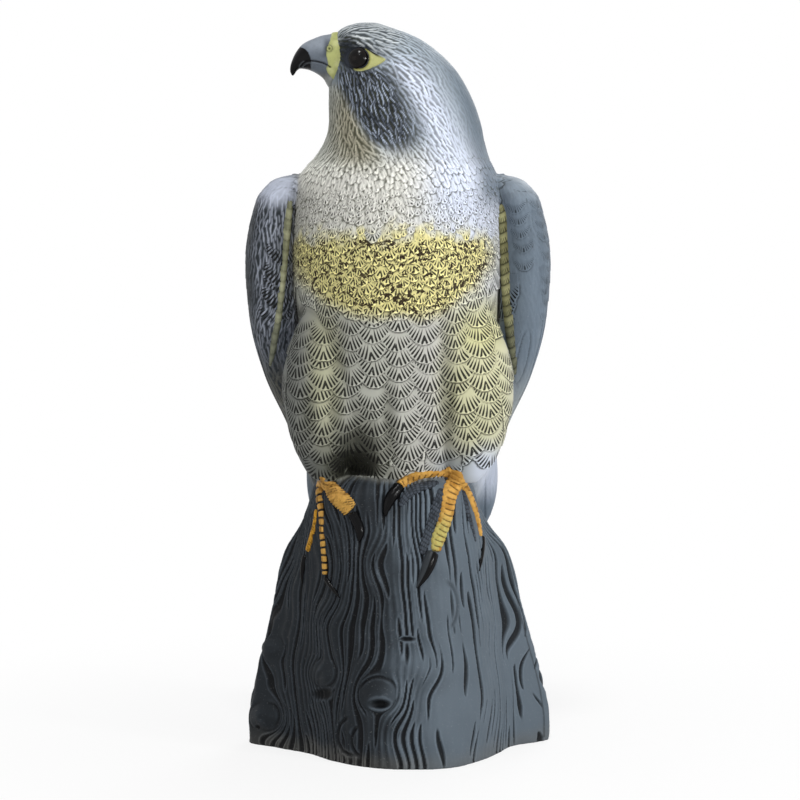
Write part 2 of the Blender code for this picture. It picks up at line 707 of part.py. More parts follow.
def make_rebate(work):
    """Return the cutter for the recess that the base plate fits."""
    x, y = plate_outline(RIM, PLATE_SIDES)
    rings = [np.column_stack([x, y, np.full(PLATE_SIDES, z)])
             for z in (-OVERRUN, PLATE_THICKNESS + SEAT_GAP)]
    return loft("rebate", rings, work)


def make_halves(parts, work, material):
    """Make the front and rear halves of the hollow figure, parted on the plane through the beak."""
    figure = make_figure(work)
    reach = FIGURE_HEIGHT
    for name, side in (("front_shell", -1), ("rear_shell", 1)):
        half = bpy.data.objects.new(name, figure.data.copy())
        parts.objects.link(half)
        near, far = sorted((side * SEAM_GAP / 2, -side * reach))
        beyond = box("beyond", (-reach, near, -reach), (reach, far, 2 * reach), work)
        combine(half, [beyond, make_core(work), make_rebate(work), eye_socket(side, work)], "DIFFERENCE")
        keep_main_skin(half)
        finish(half, material)
    bpy.data.objects.remove(figure, do_unlink=True)


def make_base_plate(parts, work, material):
    """Return the plate that closes the stump, with the neck that takes the plug."""
    x, y = plate_outline(RIM + FIT_GAP, PLATE_SIDES)
    plate = loft("base_plate", [np.column_stack([x, y, np.full(PLATE_SIDES, z)])
                                for z in (0.0, PLATE_THICKNESS)], parts)
    neck = turned("neck", [(0.0, NECK_HEIGHT), (FLANGE_RADIUS + FIT_GAP + NECK_WALL, NECK_HEIGHT),
                           (FLANGE_RADIUS + FIT_GAP + NECK_WALL, PLATE_THICKNESS / 2),
                           (0.0, PLATE_THICKNESS / 2)], ROUND_SIDES, work)
    seat = FLANGE_RECESS + FLANGE_THICKNESS + SEAT_GAP
    bore = turned("bore", [(0.0, NECK_HEIGHT + OVERRUN), (BORE_RADIUS, NECK_HEIGHT + OVERRUN),
                           (BORE_RADIUS, seat), (FLANGE_RADIUS + FIT_GAP, seat),
                           (FLANGE_RADIUS + FIT_GAP, -OVERRUN), (0.0, -OVERRUN)], ROUND_SIDES, work)
    for piece in (neck, bore):
        piece.location = (0.0, PLUG_Y, 0.0)
    bpy.context.view_layer.update()
    combine(plate, [neck], "UNION")
    combine(plate, [bore], "DIFFERENCE")
    finish(plate, material)
    return plate


def make_fill_plug(parts, work, material):
    """Return the push-in plug: a tapered cup under a flange, with a grip bar across its mouth."""
    radius = BORE_RADIUS - FIT_GAP
    flange_top = FLANGE_RECESS + FLANGE_THICKNESS
    profile = [(0.0, PLUG_HEIGHT), (radius - PLUG_TAPER, PLUG_HEIGHT), (radius, flange_top + PLUG_TAPER),
               (radius, flange_top), (FLANGE_RADIUS, flange_top), (FLANGE_RADIUS, FLANGE_RECESS),
               (radius - PLUG_WALL, FLANGE_RECESS),
               (radius - PLUG_WALL - PLUG_TAPER, PLUG_HEIGHT - PLUG_WALL), (0.0, PLUG_HEIGHT - PLUG_WALL)]
    plug = turned("fill_plug", profile, ROUND_SIDES, parts)
    plug.location = (0.0, PLUG_Y, 0.0)
    bpy.context.view_layer.update()
    grip = box("grip", (-(radius - PLUG_WALL / 2), PLUG_Y - GRIP_WIDTH / 2, FLANGE_RECESS + SEAT_GAP),
               (radius - PLUG_WALL / 2, PLUG_Y + GRIP_WIDTH / 2, PLUG_HEIGHT - PLUG_WALL / 2), work)
    combine(plug, [grip], "UNION")
    finish(plug, material)
    return plug


def main():
    """Build the decoy."""
    clear_scene()
    parts = new_collection("hawk_decoy")
    work = new_collection("cutters")
    shell = plastic("painted_shell", (0.34, 0.38, 0.42), 0.62)
    black = plastic("moulded_black", (0.03, 0.033, 0.036), 0.5)
    gloss = plastic("eye_gloss", (0.008, 0.007, 0.006), 0.06)
    make_halves(parts, work, shell)
    make_base_plate(parts, work, black)
    make_fill_plug(parts, work, black)
    make_eye("eye_left", -1, gloss, parts)
    make_eye("eye_right", 1, gloss, parts)


main()
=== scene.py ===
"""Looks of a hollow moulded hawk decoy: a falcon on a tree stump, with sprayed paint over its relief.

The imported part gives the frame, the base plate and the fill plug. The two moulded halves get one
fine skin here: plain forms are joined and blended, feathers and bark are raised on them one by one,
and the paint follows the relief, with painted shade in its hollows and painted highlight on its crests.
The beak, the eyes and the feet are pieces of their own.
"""

from __future__ import annotations

import logging
import math
from dataclasses import dataclass, field
from enum import Enum
from typing import Callable

import bmesh
import bpy
import numpy as np
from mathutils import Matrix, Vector
from mathutils.bvhtree import BVHTree


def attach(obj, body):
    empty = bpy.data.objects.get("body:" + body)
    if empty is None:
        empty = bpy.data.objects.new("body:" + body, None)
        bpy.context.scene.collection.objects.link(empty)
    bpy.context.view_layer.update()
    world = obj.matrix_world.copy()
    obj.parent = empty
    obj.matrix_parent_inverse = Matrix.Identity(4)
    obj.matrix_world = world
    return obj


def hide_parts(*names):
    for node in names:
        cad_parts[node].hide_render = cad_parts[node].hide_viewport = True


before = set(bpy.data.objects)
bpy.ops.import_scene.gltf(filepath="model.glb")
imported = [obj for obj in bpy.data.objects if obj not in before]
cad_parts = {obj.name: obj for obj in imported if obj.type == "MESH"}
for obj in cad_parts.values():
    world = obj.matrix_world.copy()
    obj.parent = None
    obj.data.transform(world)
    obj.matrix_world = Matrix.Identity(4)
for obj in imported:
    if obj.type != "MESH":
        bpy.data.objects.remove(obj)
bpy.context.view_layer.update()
MM = 0.001
LOG = logging.getLogger("hawk_decoy")


def linear(colour: tuple | np.ndarray) -> np.ndarray:
    """Turn a colour of 0 to 255 a channel into scene-linear values; an array is linear already."""
    if isinstance(colour, np.ndarray):
        return colour
    share = np.array(colour) / 255.0
    return np.where(share <= 0.04045, share / 12.92, ((share + 0.055) / 1.055) ** 2.4)


def sprayed(base: tuple | np.ndarray, *coats: tuple) -> np.ndarray:
    """Spray colours over a base, one after the other.

    Args:
        base: A colour of 0 to 255 a channel, or the scene-linear paint so far.
        *coats: A colour and its share, one number or one for each vertex, for each coat.

    Returns:
        The scene-linear paint of each vertex.
    """
    paint = linear(base)
    for colour, share in coats:
        paint = paint + (linear(colour) - paint) * np.atleast_1d(np.clip(share, 0.0, 1.0))[:, None]
    return paint


def ease(low: float | np.ndarray, high: float | np.ndarray, value: np.ndarray) -> np.ndarray:
    """Return 0 below low, 1 above high and a smooth step between."""
    t = np.clip((value - low) / (high - low), 0.0, 1.0)
    return t * t * (3 - 2 * t)


def bell(off: np.ndarray | float, width: float, power: int = 2) -> np.ndarray:
    """Return 1 where off is 0, falling to 0 over about the width."""
    return np.exp(-(off / width) ** power)


def unit(vectors: np.ndarray) -> np.ndarray:
    """Scale one vector, or each row of them, to a length of 1."""
    return vectors / np.maximum(np.linalg.norm(vectors, axis=-1, keepdims=True), 1e-6)


def smooth_rows(stations: tuple, between: int) -> np.ndarray:
    """Return the stations with smooth in-between rows, as a Catmull-Rom curve through them."""
    points = np.array(stations, dtype=float)
    padded = np.vstack([2 * points[0] - points[1], points, 2 * points[-1] - points[-2]])
    t = (np.arange(between) / between)[:, None]
    rows = []
    for index in range(len(points) - 1):
        a, b, c, d = padded[index:index + 4]
        rows.append(0.5 * (2 * b + (c - a) * t + (2 * a - 5 * b + 4 * c - d) * t ** 2
                           + (3 * b - a - 3 * c + d) * t ** 3))
    return np.vstack([*rows, points[-1:]])


def oval(sides: int, left: float, right: float, front: float, back: float, power: float) -> np.ndarray:
    """Return X and Y round an oval whose four edges are set one by one."""
    turn = np.linspace(0.0, 2 * math.pi, sides, endpoint=False)
    cosine = np.sign(np.cos(turn)) * np.abs(np.cos(turn)) ** (2 / power)
    sine = np.sign(np.sin(turn)) * np.abs(np.sin(turn)) ** (2 / power)
    y = np.where(sine < 0, front * sine, back * sine)
    return np.column_stack([(left + right) / 2 + (right - left) / 2 * cosine, y])


class Noise:
    """Smooth value noise on a fixed lattice, the same on each run."""

    count: int = 4096
    strides: tuple = (1, 57, 3251)
    scramble: int = 7919

    def __init__(self, seed: int) -> None:
        """Fill the lattice."""
        self.table = np.random.default_rng(seed).random(self.count)

    def at(self, *axes: np.ndarray) -> np.ndarray:
        """Return noise from 0 to 1 at one to three coordinates, one lattice cell a unit."""
        whole = [np.floor(axis).astype(np.int64) for axis in axes]
        part = [axis - np.floor(axis) for axis in axes]
        part = [p * p * (3 - 2 * p) for p in part]
        total = np.zeros(np.broadcast(*axes).shape)
        for corner in range(2 ** len(axes)):
            weight = 1.0
            key = 0
            for n, (w, p) in enumerate(zip(whole, part)):
                high = corner >> n & 1
                weight = weight * (p if high else 1 - p)
                key = key + (w + high) * self.strides[n]
            total = total + weight * self.table[(key * self.scramble ^ key >> 5) % self.count]
        return total


@dataclass(frozen=True)
class FrontSheet:
    """The front view as a flat sheet: steps across and down, as the camera sees them."""

    distance: float = 1.6
    rise: float = math.radians(5.0)
    aim: float = 0.2017
    step: float = 0.000583
    middle: float = 400.0

    @property
    def eye(self) -> np.ndarray:
        """Where the camera stands."""
        return np.array([0.0, -self.distance * math.cos(self.rise), self.aim + self.distance * math.sin(self.rise)])

    @property
    def ahead(self) -> np.ndarray:
        """The way the camera looks."""
        return np.array([0.0, math.cos(self.rise), -math.sin(self.rise)])

    @property
    def up(self) -> np.ndarray:
        """The camera's upward direction."""
        return np.array([0.0, math.sin(self.rise), math.cos(self.rise)])

    def places(self, points: np.ndarray) -> tuple[np.ndarray, np.ndarray]:
        """Return the points' steps across and down on the sheet."""
        away = points - self.eye
        depth = away @ self.ahead
        across = self.middle + away[:, 0] / depth * self.distance / self.step
        down = self.middle - (away @ self.up) / depth * self.distance / self.step
        return across, down

    def ray(self, across: float, down: float) -> tuple[Vector, Vector]:
        """Return the start and direction of the sight line through a place on the sheet."""
        x = (across - self.middle) * self.step
        z = (self.middle - down) * self.step
        way = self.ahead * self.distance + self.up * z + np.array([x, 0.0, 0.0])
        return Vector(self.eye), Vector(way).normalized()

    def on_middle(self, across: float, down: float) -> np.ndarray:
        """Return the point of the figure's middle plane that shows at a place on the sheet."""
        start, way = self.ray(across, down)
        return np.array(start - way * (start.y / way.y))


SHEET = FrontSheet()

# Where the pale side of the head turns into the dark nape, on the front sheet
NAPE = ((420, 20), (438, 50), (454, 90), (468, 130), (476, 170), (482, 240))


def left_of(points: tuple, across: np.ndarray, down: np.ndarray) -> np.ndarray:
    """Return how far each place lies left of a line that runs down the sheet, in steps."""
    line = np.array(points, dtype=float)
    return np.interp(down, line[:, 1], line[:, 0]) - across


@dataclass(frozen=True)
class Spot:
    """A soft-edged oval on the front sheet: its middle and its half sizes in steps."""

    across: float
    down: float
    wide: float
    high: float
    edge: float = 0.35

    def at(self, across: np.ndarray, down: np.ndarray) -> np.ndarray:
        """Return 1 inside the oval, 0 outside and a soft step between."""
        far = np.hypot((across - self.across) / self.wide, (down - self.down) / self.high)
        return ease(1 + self.edge, 1 - self.edge, far)


def placed(name: str, data: bpy.types.ID) -> bpy.types.Object:
    """Put an object with the data into the scene."""
    obj = bpy.data.objects.new(name, data)
    bpy.context.scene.collection.objects.link(obj)
    return obj


def object_from(bm: bmesh.types.BMesh, name: str) -> bpy.types.Object:
    """Turn a bmesh into an object in the scene, shaded smooth."""
    mesh = bpy.data.meshes.new(name)
    bm.to_mesh(mesh)
    bm.free()
    mesh.shade_smooth()
    return placed(name, mesh)


def evaluated(obj: bpy.types.Object) -> bpy.types.Mesh:
    """Return a new mesh of the object as its modifiers leave it."""
    graph = bpy.context.evaluated_depsgraph_get()
    return bpy.data.meshes.new_from_object(obj.evaluated_get(graph), depsgraph=graph)


def settle(obj: bpy.types.Object) -> None:
    """Keep what an object's modifiers make and remove them."""
    mesh = evaluated(obj)
    obj.modifiers.clear()
    old, obj.data = obj.data, mesh
    bpy.data.meshes.remove(old)


def lofted(name: str, *tubes: list[np.ndarray]) -> bpy.types.Object:
    """Skin closed tubes through rings of points, with a cap at each end.

    Args:
        name: The object's name.
        *tubes: Each tube's rings, all with the same count of points.

    Returns:
        One object with all the tubes.
    """
    bm = bmesh.new()
    for rings in tubes:
        loops = []
        for ring in rings:
            verts = bmesh.ops.create_circle(bm, segments=len(ring), radius=1.0)["verts"]
            for vert, point in zip(verts, ring):
                vert.co = point
            # Each edge once, in the same order on each run
            loops.append(list(dict.fromkeys(edge for vert in verts for edge in vert.link_edges)))
        for lower, upper in zip(loops, loops[1:]):
            bmesh.ops.bridge_loops(bm, edges=lower + upper)
        for end in (loops[0], loops[-1]):
            bmesh.ops.edgeloop_fill(bm, edges=end)
    bmesh.ops.recalc_face_normals(bm, faces=bm.faces)
    return object_from(bm, name)


def read(rows: bpy.types.bpy_prop_collection, name: str, wide: int = 3, kind: type = float) -> np.ndarray:
    """Return one property of a mesh's vertices, edges, faces or corners, a row for each."""
    flat = np.empty(len(rows) * wide, dtype=kind)
    rows.foreach_get(name, flat)
    return flat.reshape(-1, wide)


def points_of(mesh: bpy.types.Mesh) -> np.ndarray:
    """Return a mesh's vertex places."""
    return read(mesh.vertices, "co")


def normals_of(mesh: bpy.types.Mesh) -> np.ndarray:
    """Return a mesh's vertex normals."""
    return read(mesh.vertex_normals, "vector")


def move_to(mesh: bpy.types.Mesh, points: np.ndarray) -> None:
    """Move a mesh's vertices."""
    mesh.vertices.foreach_set("co", points.ravel())
    mesh.update()


def near_side(points: np.ndarray) -> np.ndarray:
    """Return the points with those of the far side mirrored to the side that the camera sees."""
    return np.column_stack([points[:, 0], -np.abs(points[:, 1]), points[:, 2]])


def keep_values(mesh: bpy.types.Mesh, name: str, values: np.ndarray) -> None:
    """Store one number or one colour for each vertex."""
    if values.ndim == 2:
        layer = mesh.attributes.new(name, "FLOAT_COLOR", "POINT")
        layer.data.foreach_set("color", np.column_stack([values, np.ones(len(values))]).ravel())
    else:
        layer = mesh.attributes.new(name, "FLOAT", "POINT")
        layer.data.foreach_set("value", values.astype(float))


class Part(Enum):
    """The figure's main forms."""

    TORSO = 0
    LEFT_SIDE_WING = 1
    RIGHT_SIDE_WING = 2
    LEFT_SIDE_THIGH = 3
    RIGHT_SIDE_THIGH = 4
    TAIL = 5
    STUMP = 6


WINGS = (Part.LEFT_SIDE_WING, Part.RIGHT_SIDE_WING)
BODY = (Part.TORSO, Part.LEFT_SIDE_THIGH, Part.RIGHT_SIDE_THIGH)


@dataclass
class Torso:
    """Body, neck and head as one lofted form."""

    x: float = -0.0012
    bottom: float = 0.150
    top: float = 0.420
    half_width: float = 0.060
    breast: float = 0.064
    back: float = 0.055
    power: float = 2.1
    sides: int = 128
    # Height share, then the left, right, front and back edges as shares of the half sizes
    stations: tuple = (
        (0.000, -0.47, 0.60, 0.47, 0.62), (0.056, -0.67, 0.77, 0.66, 0.73),
        (0.148, -0.80, 0.87, 0.78, 0.84), (0.241, -0.88, 0.92, 0.88, 0.91),
        (0.333, -0.95, 0.95, 0.95, 0.96), (0.444, -1.00, 0.98, 1.00, 1.00),
        (0.556, -1.00, 0.98, 0.95, 0.96), (0.644, -0.97, 0.97, 0.86, 0.87),
        (0.680, -0.91, 0.93, 0.80, 0.80), (0.714, -0.79, 0.87, 0.72, 0.73),
        (0.748, -0.70, 0.83, 0.63, 0.66), (0.783, -0.66, 0.80, 0.56, 0.62),
        (0.835, -0.66, 0.72, 0.48, 0.56), (0.885, -0.65, 0.60, 0.44, 0.51),
        (0.922, -0.60, 0.46, 0.41, 0.48), (0.956, -0.60, 0.27, 0.36, 0.42),
        (0.975, -0.59, 0.10, 0.30, 0.35), (0.989, -0.51, -0.08, 0.20, 0.23),
        (0.998, -0.38, -0.20, 0.08, 0.09),
    )

    def rings(self) -> list[np.ndarray]:
        """Return the rings of the form."""
        rings = []
        for share, left, right, front, back in smooth_rows(self.stations, 6):
            flat = oval(self.sides, left * self.half_width, right * self.half_width,
                        front * self.breast, back * self.back, self.power)
            height = self.bottom + share * (self.top - self.bottom)
            rings.append(np.column_stack([flat[:, 0] + self.x, flat[:, 1], np.full(self.sides, height)]))
        return rings

    def edges_at(self, z: np.ndarray) -> tuple[np.ndarray, ...]:
        """Return the left, right, front and back edges at each height, in metres."""
        rows = smooth_rows(self.stations, 6)
        share = (z - self.bottom) / (self.top - self.bottom)
        left, right, front, back = (np.interp(share, rows[:, 0], rows[:, n]) for n in range(1, 5))
        return left * self.half_width, right * self.half_width, front * self.breast, back * self.back

    def gap(self, points: np.ndarray) -> np.ndarray:
        """Return roughly how far the points lie outside the form."""
        left, right, front, back = self.edges_at(points[:, 2])
        half = (right - left) / 2
        depth = np.where(points[:, 1] < 0, front, back)
        across = np.abs((points[:, 0] - self.x - (left + right) / 2) / half)
        along = np.abs(points[:, 1] / depth)
        size = (across ** self.power + along ** self.power) ** (1 / self.power)
        below = np.maximum(self.bottom - points[:, 2], 0.0)
        return (size - 1) * np.minimum(half, depth) + below * 3


@dataclass
class Lobe:
    """A rounded form lofted between two heights: a folded wing, a thigh or the tail."""

    low: float
    high: float
    half_x: float
    half_y: float
    # Height share, place out as a share of out, Y, half sizes as shares and turn in degrees
    stations: tuple
    out: float = 0.0
    x: float = -0.0012
    side: int = 1
    power: float = 2.0
    sides: int = 72
    between: int = 7

    def section(self, share: float | np.ndarray) -> tuple:
        """Return the middle's X and Y, the half sizes and the turn at a height share."""
        rows = smooth_rows(self.stations, self.between)
        out, y, wide, deep, turn = (np.interp(share, rows[:, 0], rows[:, n]) for n in range(1, 6))
        return (self.x + self.side * out * self.out, y, np.maximum(wide * self.half_x, MM),
                np.maximum(deep * self.half_y, MM), self.side * np.radians(turn))

    def rings(self) -> list[np.ndarray]:
        """Return the rings of the form."""
        rings = []
        for share in smooth_rows(self.stations, self.between)[:, 0]:
            x, y, wide, deep, turn = self.section(share)
            across, along = oval(self.sides, -wide, wide, deep, deep, self.power).T
            rings.append(np.column_stack([
                across * np.cos(turn) - along * np.sin(turn) + x, across * np.sin(turn) + along * np.cos(turn) + y,
                np.full(self.sides, self.low + share * (self.high - self.low))]))
        return rings

    def own_axes(self, points: np.ndarray) -> tuple[np.ndarray, ...]:
        """Return places across and along the section, its half sizes there, and the height share."""
        share = (points[:, 2] - self.low) / (self.high - self.low)
        x, y, wide, deep, turn = self.section(share)
        dx, dy = points[:, 0] - x, points[:, 1] - y
        across = (dx * np.cos(turn) + dy * np.sin(turn)) * self.side
        return across, -dx * np.sin(turn) + dy * np.cos(turn), wide, deep, share

    def gap(self, points: np.ndarray) -> np.ndarray:
        """Return roughly how far the points lie outside the form."""
        across, along, wide, deep, share = self.own_axes(points)
        size = (np.abs(across / wide) ** self.power + np.abs(along / deep) ** self.power) ** (1 / self.power)
        beyond = np.maximum(np.abs(share - 0.5) - 0.5, 0.0) * (self.high - self.low)
        return (size - 1) * np.minimum(wide, deep) + beyond * 2


def wing(side: int) -> Lobe:
    """Return one folded wing; side is -1 for -X and 1 for +X."""
    return Lobe(low=0.110, high=0.332, out=0.067, half_x=0.0190, half_y=0.040, side=side, stations=(
        (0.000, 0.36, 0.047, 0.12, 0.10, 34.0), (0.036, 0.40, 0.046, 0.40, 0.27, 34.0),
        (0.135, 0.50, 0.041, 0.62, 0.43, 33.0), (0.248, 0.59, 0.036, 0.74, 0.60, 30.0),
        (0.360, 0.70, 0.031, 0.82, 0.76, 26.0), (0.482, 0.855, 0.024, 0.90, 0.92, 20.0),
        (0.630, 0.97, 0.019, 1.00, 1.00, 15.0), (0.797, 1.01, 0.016, 1.00, 0.98, 13.0),
        (0.923, 0.98, 0.012, 0.86, 0.86, 10.0), (0.964, 0.945, 0.010, 0.74, 0.74, 8.0),
        (0.989, 0.905, 0.009, 0.55, 0.52, 8.0), (1.000, 0.88, 0.008, 0.22, 0.20, 8.0)))


def thigh(side: int) -> Lobe:
    """Return one feathered thigh; side is -1 for -X and 1 for +X."""
    return Lobe(low=0.157, high=0.268, out=0.0415, half_x=0.0245, half_y=0.0220, side=side, stations=(
        (0.00, 0.96, -0.0300, 0.22, 0.22, 0.0), (0.05, 0.96, -0.0310, 0.42, 0.42, 0.0),
        (0.16, 0.99, -0.0310, 0.66, 0.66, 0.0), (0.32, 1.00, -0.0300, 0.88, 0.88, 0.0),
        (0.50, 0.99, -0.0280, 1.00, 1.00, 0.0), (0.68, 0.95, -0.0270, 0.94, 0.94, 0.0),
        (0.85, 0.89, -0.0270, 0.70, 0.70, 0.0), (0.96, 0.84, -0.0280, 0.36, 0.36, 0.0),
        (1.00, 0.83, -0.0280, 0.14, 0.14, 0.0)))


def tail() -> Lobe:
    """Return the tail, laid down the back of the stump."""
    return Lobe(low=0.060, high=0.205, x=0.0013, half_x=0.050, half_y=0.010, power=3.0, sides=96, stations=(
        (0.00, 0.0, 0.0590, 0.48, 0.50, 0.0), (0.05, 0.0, 0.0590, 0.56, 0.66, 0.0),
        (0.16, 0.0, 0.0565, 0.68, 0.72, 0.0), (0.34, 0.0, 0.0515, 0.86, 0.80, 0.0),
        (0.52, 0.0, 0.0440, 1.10, 1.30, 0.0), (0.70, 0.0, 0.0380, 1.13, 1.70, 0.0),
        (0.88, 0.0, 0.0370, 1.00, 1.60, 0.0), (1.00, 0.0, 0.0380, 0.75, 1.10, 0.0)))


@dataclass
class Stump:
    """The tree stump, from its rooted foot to its crown."""

    top: float = 0.162
    sides: int = 220
    crown: tuple = (0.053, 0.045, 0.049, 0.042)
    power: float = 3.4
    inset: float = 0.6 * MM
    # Bearing in degrees and radius on the ground
    footprint: tuple = (
        (-177.0, 0.0895), (-167.0, 0.0765), (-147.0, 0.0640), (-124.0, 0.0680), (-98.0, 0.0760),
        (-70.0, 0.0790), (-51.0, 0.0720), (-31.0, 0.0670), (-11.0, 0.0690), (4.0, 0.0895),
        (18.0, 0.0790), (46.0, 0.0690), (98.0, 0.0610), (145.0, 0.0700), (168.0, 0.0810),
    )
    # Height share, how far the outline has turned into the crown's, and its size
    stations: tuple = (
        (0.00, 0.00, 1.0), (0.10, 0.01, 1.0), (0.22, 0.09, 1.0), (0.36, 0.24, 1.0), (0.50, 0.38, 1.0),
        (0.62, 0.48, 1.0), (0.71, 0.60, 1.0), (0.79, 0.82, 1.0), (0.86, 0.96, 1.0), (0.94, 1.00, 0.95),
        (0.99, 1.00, 0.76), (1.00, 1.00, 0.50),
    )

    def foot_radius(self, turn: np.ndarray) -> np.ndarray:
        """Return the radius on the ground at each angle, rounded between the roots."""
        knots = np.radians([bearing for bearing, _ in self.footprint])
        radii = np.tile([radius for _, radius in self.footprint], 3)
        around = np.concatenate([knots - 2 * math.pi, knots, knots + 2 * math.pi])
        slopes = np.zeros_like(around)
        slopes[1:-1] = (radii[2:] - radii[:-2]) / (around[2:] - around[:-2])
        wrapped = (turn + math.pi) % (2 * math.pi) - math.pi
        index = np.searchsorted(around, wrapped) - 1
        span = around[index + 1] - around[index]
        t = (wrapped - around[index]) / span
        return ((2 * t ** 3 - 3 * t ** 2 + 1) * radii[index] + (t ** 3 - 2 * t ** 2 + t) * span * slopes[index]
                + (3 * t ** 2 - 2 * t ** 3) * radii[index + 1] + (t ** 3 - t ** 2) * span * slopes[index + 1])

    def crown_radius(self, turn: np.ndarray) -> np.ndarray:
        """Return the radius of the top outline at each angle."""
        left, right, front, back = self.crown
        width = np.where(np.cos(turn) < 0, left, right)
        depth = np.where(np.sin(turn) < 0, front, back)
        return (np.abs(np.cos(turn) / width) ** self.power
                + np.abs(np.sin(turn) / depth) ** self.power) ** (-1 / self.power)

    def rings(self) -> list[np.ndarray]:
        """Return the rings of the form."""
        turn = np.linspace(0.0, 2 * math.pi, self.sides, endpoint=False)
        foot, crown = self.foot_radius(turn), self.crown_radius(turn)
        rings = []
        for share, blend, size in smooth_rows(self.stations, 5):
            radius = ((1 - blend) * foot + blend * crown) * size - self.inset
            rings.append(np.column_stack([radius * np.cos(turn), radius * np.sin(turn),
                                          np.full(self.sides, share * self.top)]))
        return rings

    def gap(self, points: np.ndarray) -> np.ndarray:
        """Return roughly how far the points lie outside the form."""
        turn = np.arctan2(points[:, 1], points[:, 0])
        rows = smooth_rows(self.stations, 5)
        share = np.clip(points[:, 2] / self.top, 0.0, 1.0)
        blend, size = (np.interp(share, rows[:, 0], rows[:, n]) for n in (1, 2))
        radius = ((1 - blend) * self.foot_radius(turn) + blend * self.crown_radius(turn)) * size
        above = np.maximum(points[:, 2] - self.top, 0.0)
        side = np.hypot(points[:, 0], points[:, 1]) - radius
        cap = np.where(side < 0, np.minimum(-side, np.abs(points[:, 2] - self.top)), side)
        return cap + above * 2


@dataclass(frozen=True)
class FeatherKind:
    """One kind of moulded feather, in millimetres.

    barb is the angle between the barbs of a fan, in degrees, or 0 for none, fan is how far above
    the tip the barbs meet, as a share of the length, and slope is how many leave the shaft below that.
    """

    width: float
    length: float
    lift: float
    round_tip: float = 0.45
    crown: float = 0.35
    barb: float = 0.0
    fan: float = 0.72
    shaft: float = 0.0
    grooved: float = 1.0
    slope: float = 0.0


class Cells:
    """Finds the vertices near a place."""

    # More than the cubes in a row
    row: int = 4096

    def __init__(self, points: np.ndarray, size: float) -> None:
        """Sort the vertices into cubes of the size."""
        self.size = size
        self.low = points.min(0) - size
        keys = self.key(np.floor((points - self.low) / size).astype(np.int64))
        self.order = np.argsort(keys, kind="stable")
        self.keys = keys[self.order]

    def key(self, cells: np.ndarray) -> np.ndarray:
        """Return one number for each cube."""
        return (cells[..., 0] * self.row + cells[..., 1]) * self.row + cells[..., 2]

    def near(self, place: np.ndarray, reach: float) -> np.ndarray:
        """Return the indices of the vertices in the cubes that a ball touches."""
        low = np.floor((place - reach - self.low) / self.size).astype(np.int64)
        high = np.floor((place + reach - self.low) / self.size).astype(np.int64)
        found = []
        for x in range(low[0], high[0] + 1):
            for y in range(low[1], high[1] + 1):
                base = (x * self.row + y) * self.row
                start = np.searchsorted(self.keys, base + low[2])
                stop = np.searchsorted(self.keys, base + high[2] + 1)
                found.append(self.order[start:stop])
        return np.concatenate(found)


